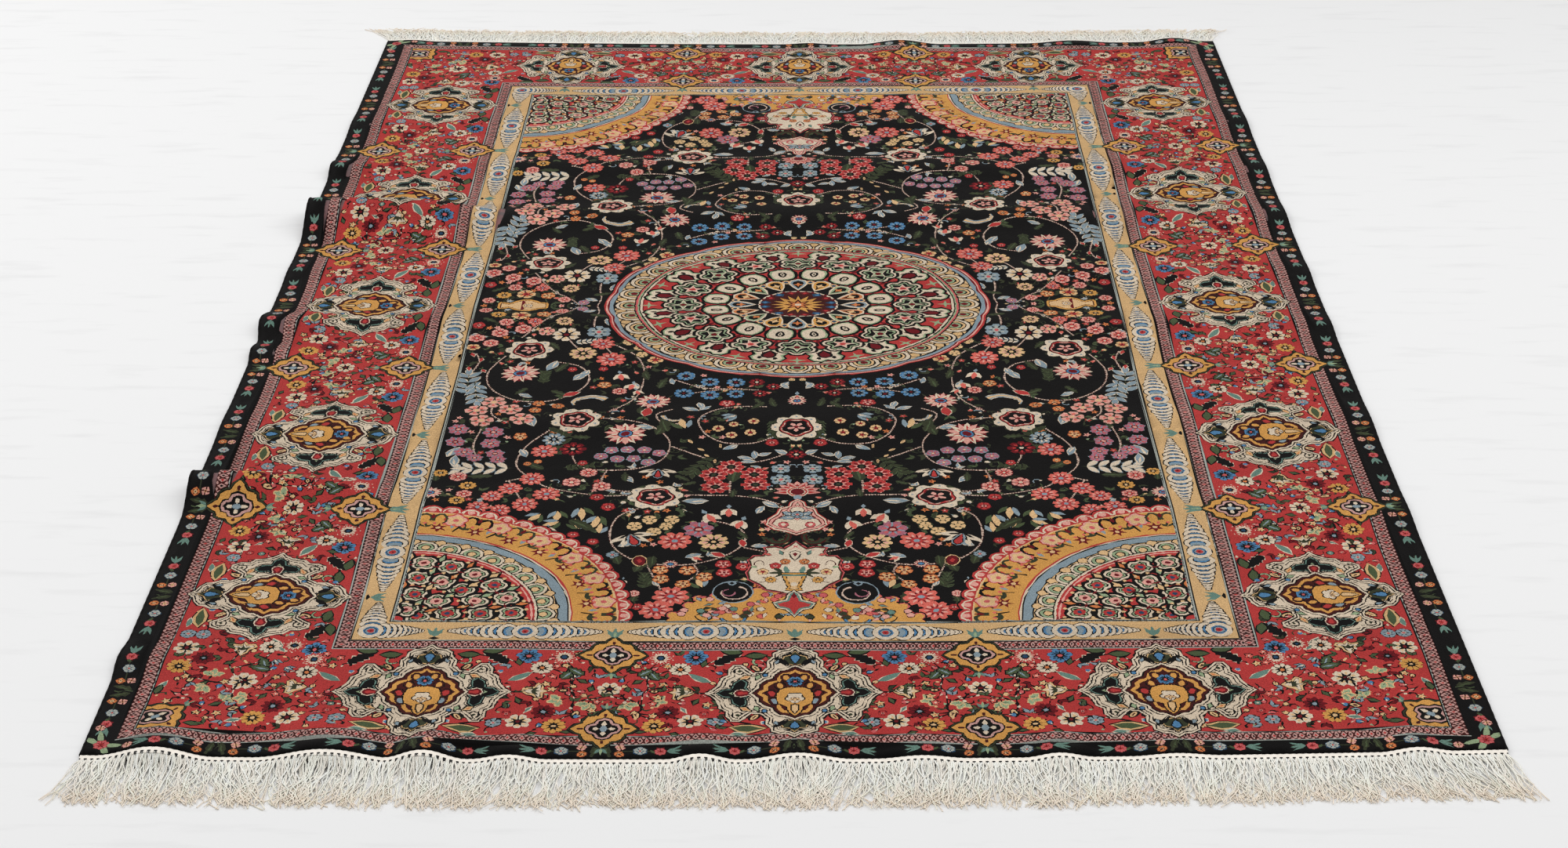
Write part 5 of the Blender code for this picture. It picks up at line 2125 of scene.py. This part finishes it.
def end_strip(name, end, material):
    """The plain woven end beyond the last knots: a ribbed band, then sunken gaps between the bundles,
    coloured black as painted shade.
    """
    columns = BUNDLES * COLUMNS_A_BUNDLE + 1
    x = np.linspace(-WIDTH / 2, WIDTH / 2, columns)
    out = np.array([row["out"] for row in STRIP_ROWS])
    rise = np.array([row["height"] for row in STRIP_ROWS])
    grid_x, grid_y = np.meshgrid(x, end * (PILE_LENGTH / 2 + out))
    ribs = RIB_HEIGHT * np.cos(np.arange(columns) * FULL_TURN / COLUMNS_A_BUNDLE)
    gap = (np.arange(columns) % COLUMNS_A_BUNDLE == 0)[None, :] & (out > GAPS_FROM)[:, None]
    height = rise[:, None] + ribs[None, :] - GAP_DROP * gap
    points = laid(grid_x.ravel(), grid_y.ravel(), height.ravel())
    corner = np.arange(len(out) * columns).reshape(len(out), columns)
    quads = np.stack([corner[:-1, :-1], corner[:-1, 1:], corner[1:, 1:], corner[1:, :-1]], axis=-1)
    quads = quads.reshape(-1, 4)
    quads = quads if end > 0 else quads[:, ::-1]
    inks = []
    for row in STRIP_ROWS[:-1]:
        for column in range(columns - 1):
            # The gap cells take black as painted shade between the bundles
            in_gap = column % COLUMNS_A_BUNDLE in (0, COLUMNS_A_BUNDLE - 1)
            inks.append(INKS[row["gap_shade_ink"] if in_gap else row["ink"]])
    piece = add_mesh(name, points, quads, material)
    set_inks(piece.data, np.array(inks), 4)
    return piece


def thread_x(chance, bundle_roots, t, length):
    """Where the threads run across the rug: out of a tight bundle, then leaning and curling."""
    roots = np.repeat(bundle_roots, THREADS)
    count = len(roots)
    tuft = np.interp(bundle_roots, np.linspace(-1, 1, TUFTS), chance.normal(0, TUFT_LEAN, TUFTS))
    bundle_lean = np.repeat(tuft + chance.normal(0, BUNDLE_LEAN, BUNDLES), THREADS)
    corner_lean = CORNER_SPREAD * np.abs(2 * roots / WIDTH) ** SPREAD_POWER * np.sign(roots)
    lean = corner_lean + bundle_lean + chance.normal(0, THREAD_LEAN, count)
    curl = chance.normal(0, CURL, count)
    phase = chance.uniform(0, FULL_TURN, count)
    start = np.tile(np.linspace(-ROOT_SPREAD, ROOT_SPREAD, THREADS), BUNDLES) * (WIDTH / BUNDLES)
    spread = 1 + OPENING * np.clip((t * length - BUNDLE_NECK) / OPENING_LENGTH, 0, 1)
    wave = curl[:, None] * np.sin(phase[:, None] + CURL_TURNS * t) * np.sqrt(t)
    return roots[:, None] + start[:, None] * spread + lean[:, None] * t ** LEAN_POWER + wave


def thread_reach(chance, t, length):
    """How far out the threads' points lie: uneven lengths, and tips that hook back."""
    count = BUNDLES * THREADS
    reach = length * np.repeat(chance.uniform(SHORTEST_BUNDLE, 1.0, BUNDLES), THREADS)
    reach = reach * chance.uniform(SHORTEST_THREAD, 1.0, count)
    hook = np.abs(chance.normal(0, HOOK, count))[:, None] * np.clip(t - HOOK_FROM, 0, 1) * HOOK_PULL
    return reach[:, None] * t - hook


def thread_z(chance, root_z, t):
    """From the raised strip down to the floor, where the threads heap up."""
    fall = np.clip(1 - t * FALL_RATE, 0, 1) ** 2
    heap = chance.uniform(THREAD_RADIUS, HEAP, len(root_z))[:, None] * (1 - HEAP_LOSS * t)
    return np.maximum((root_z[:, None] + ROOT_LIFT) * fall + heap * (1 - fall), THREAD_RADIUS)


def fringe_threads(name, end, material, seed):
    """Loose warp ends: tight bundles at the cloth that open, cross and curl towards their tips."""
    chance = np.random.default_rng(seed)
    length = FRONT_LENGTH if end < 0 else BACK_LENGTH
    bundle_roots = -WIDTH / 2 + WIDTH / BUNDLES * (np.arange(BUNDLES) + 0.5)
    count = BUNDLES * THREADS
    t = np.linspace(0, 1, THREAD_POINTS)
    x = thread_x(chance, bundle_roots, t, length)
    reach = thread_reach(chance, t, length)
    roots = np.repeat(bundle_roots, THREADS)
    root = drape(roots, np.full(count, end * (PILE_LENGTH / 2 + STRIP_REACH)))
    y = root[:, 1][:, None] + end * reach
    z = thread_z(chance, root[:, 2], t)
    radii = THREAD_RADIUS * (1 - TAPER * t) * chance.uniform(THINNEST, THICKEST, (count, 1))
    points, quads = tubes(np.stack([x, y, z], axis=2), radii, 3)
    piece = add_mesh(name, points, quads, material)
    colour_threads(piece.data, count, chance)
    return piece


def colour_threads(mesh, count, chance):
    """Off-white yarn, each end a little different, browner at the tips."""
    along = np.tile(np.arange(THREAD_POINTS - 1) / (THREAD_POINTS - 2), count)
    part = np.clip((along - 0.45) / 0.55, 0, 1)[:, None] * 0.8
    shade = np.repeat(chance.uniform(0.96, 1.12, count), THREAD_POINTS - 1)[:, None]
    base, tip = (np.array([linear(v) for v in colour]) for colour in (YARN, YARN_TIP))
    colours = np.clip((base * (1 - part) + tip * part) * shade, 0, 1)
    colours = np.concatenate([colours, np.ones((len(colours), 1))], axis=1)
    layer = mesh.color_attributes.new("Silk", "BYTE_COLOR", "CORNER")
    layer.data.foreach_set("color", np.repeat(colours, 12, axis=0).astype(np.float32).ravel())


# Camera at the photograph's place, light and floor
CAMERA_PLACE = (0.01346, -4.08079, 1.91529)
CAMERA_YAW = -0.00932
CAMERA_PITCH = 0.48424
CAMERA_ROLL = -0.00239
CAMERA_LENS = 59.14
SENSOR = 36.0


def camera():
    data = bpy.data.cameras.new("camera")
    data.lens = CAMERA_LENS
    data.sensor_width = SENSOR
    data.sensor_fit = "HORIZONTAL"
    item = bpy.data.objects.new("camera", data)
    forward = Vector((
        math.sin(CAMERA_YAW) * math.cos(CAMERA_PITCH),
        math.cos(CAMERA_YAW) * math.cos(CAMERA_PITCH),
        -math.sin(CAMERA_PITCH),
    ))
    right = Vector((math.cos(CAMERA_YAW), -math.sin(CAMERA_YAW), 0))
    up = right.cross(forward)
    rolled = math.cos(CAMERA_ROLL) * right + math.sin(CAMERA_ROLL) * up
    up = rolled.cross(forward)
    axes = Matrix((rolled, up, -forward)).transposed()
    item.matrix_world = Matrix.Translation(CAMERA_PLACE) @ axes.to_4x4()
    bpy.context.scene.collection.objects.link(item)
    bpy.context.scene.camera = item


# Soft lights, all aimed at the middle of the rug: name, place, size and power
LIGHT_TABLE = (
    ("window", (-3.4, 2.2, 3.6), 2.6, 85.0),
    ("ceiling", (0.8, -0.8, 4.4), 4.5, 62.0),
    ("fill", (3.6, 0.6, 3.4), 3.0, 40.0),
)

ROOM_LIGHT = 0.56


def lights():
    for name, place, size, watts in LIGHT_TABLE:
        data = bpy.data.lights.new(name, "AREA")
        data.shape = "DISK"
        data.size = size
        data.energy = watts
        item = bpy.data.objects.new(name, data)
        item.location = place
        item.rotation_euler = (-Vector(place)).to_track_quat("-Z", "Y").to_euler()
        bpy.context.scene.collection.objects.link(item)
    world = bpy.data.worlds.new("soft_room")
    world.use_nodes = True
    world.node_tree.nodes["Background"].inputs["Color"].default_value = (1.0, 1.0, 1.0, 1.0)
    world.node_tree.nodes["Background"].inputs["Strength"].default_value = ROOM_LIGHT
    bpy.context.scene.world = world
    bpy.context.scene.view_settings.view_transform = "Standard"


FLOOR_SIZE = 14.0


def floor():
    corners = [(-1, -1), (1, -1), (1, 1), (-1, 1)]
    points = [(x * FLOOR_SIZE / 2, y * FLOOR_SIZE / 2, 0.0) for x, y in corners]
    piece = add_mesh("floor", points, [(0, 1, 2, 3)], floor_material(), False)


def main():
    camera()
    lights()
    floor()
    pile = silk_pile()
    warp = warp_material("silk_warp")
    quarter = quarter_mesh(draw_pattern())
    quarters = [pile_quarter(name, side, end, quarter, pile) for name, side, end in QUARTERS]
    sheet = foundation(back_material())
    edges = selvedges(pile)
    strips = [end_strip("woven_end_front", -1, warp), end_strip("woven_end_back", 1, warp)]
    fringes = [
        fringe_threads("warp_fringe_front", -1, warp, 31),
        fringe_threads("warp_fringe_back", 1, warp, 47),
    ]
    for piece in quarters + edges + [sheet]:
        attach(piece, "root")
        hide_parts("rug_body")
    for strip, threads, name in zip(strips, fringes, ("fringe_front", "fringe_back")):
        for piece in (strip, threads):
            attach(piece, "root")
            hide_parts(name)


main()
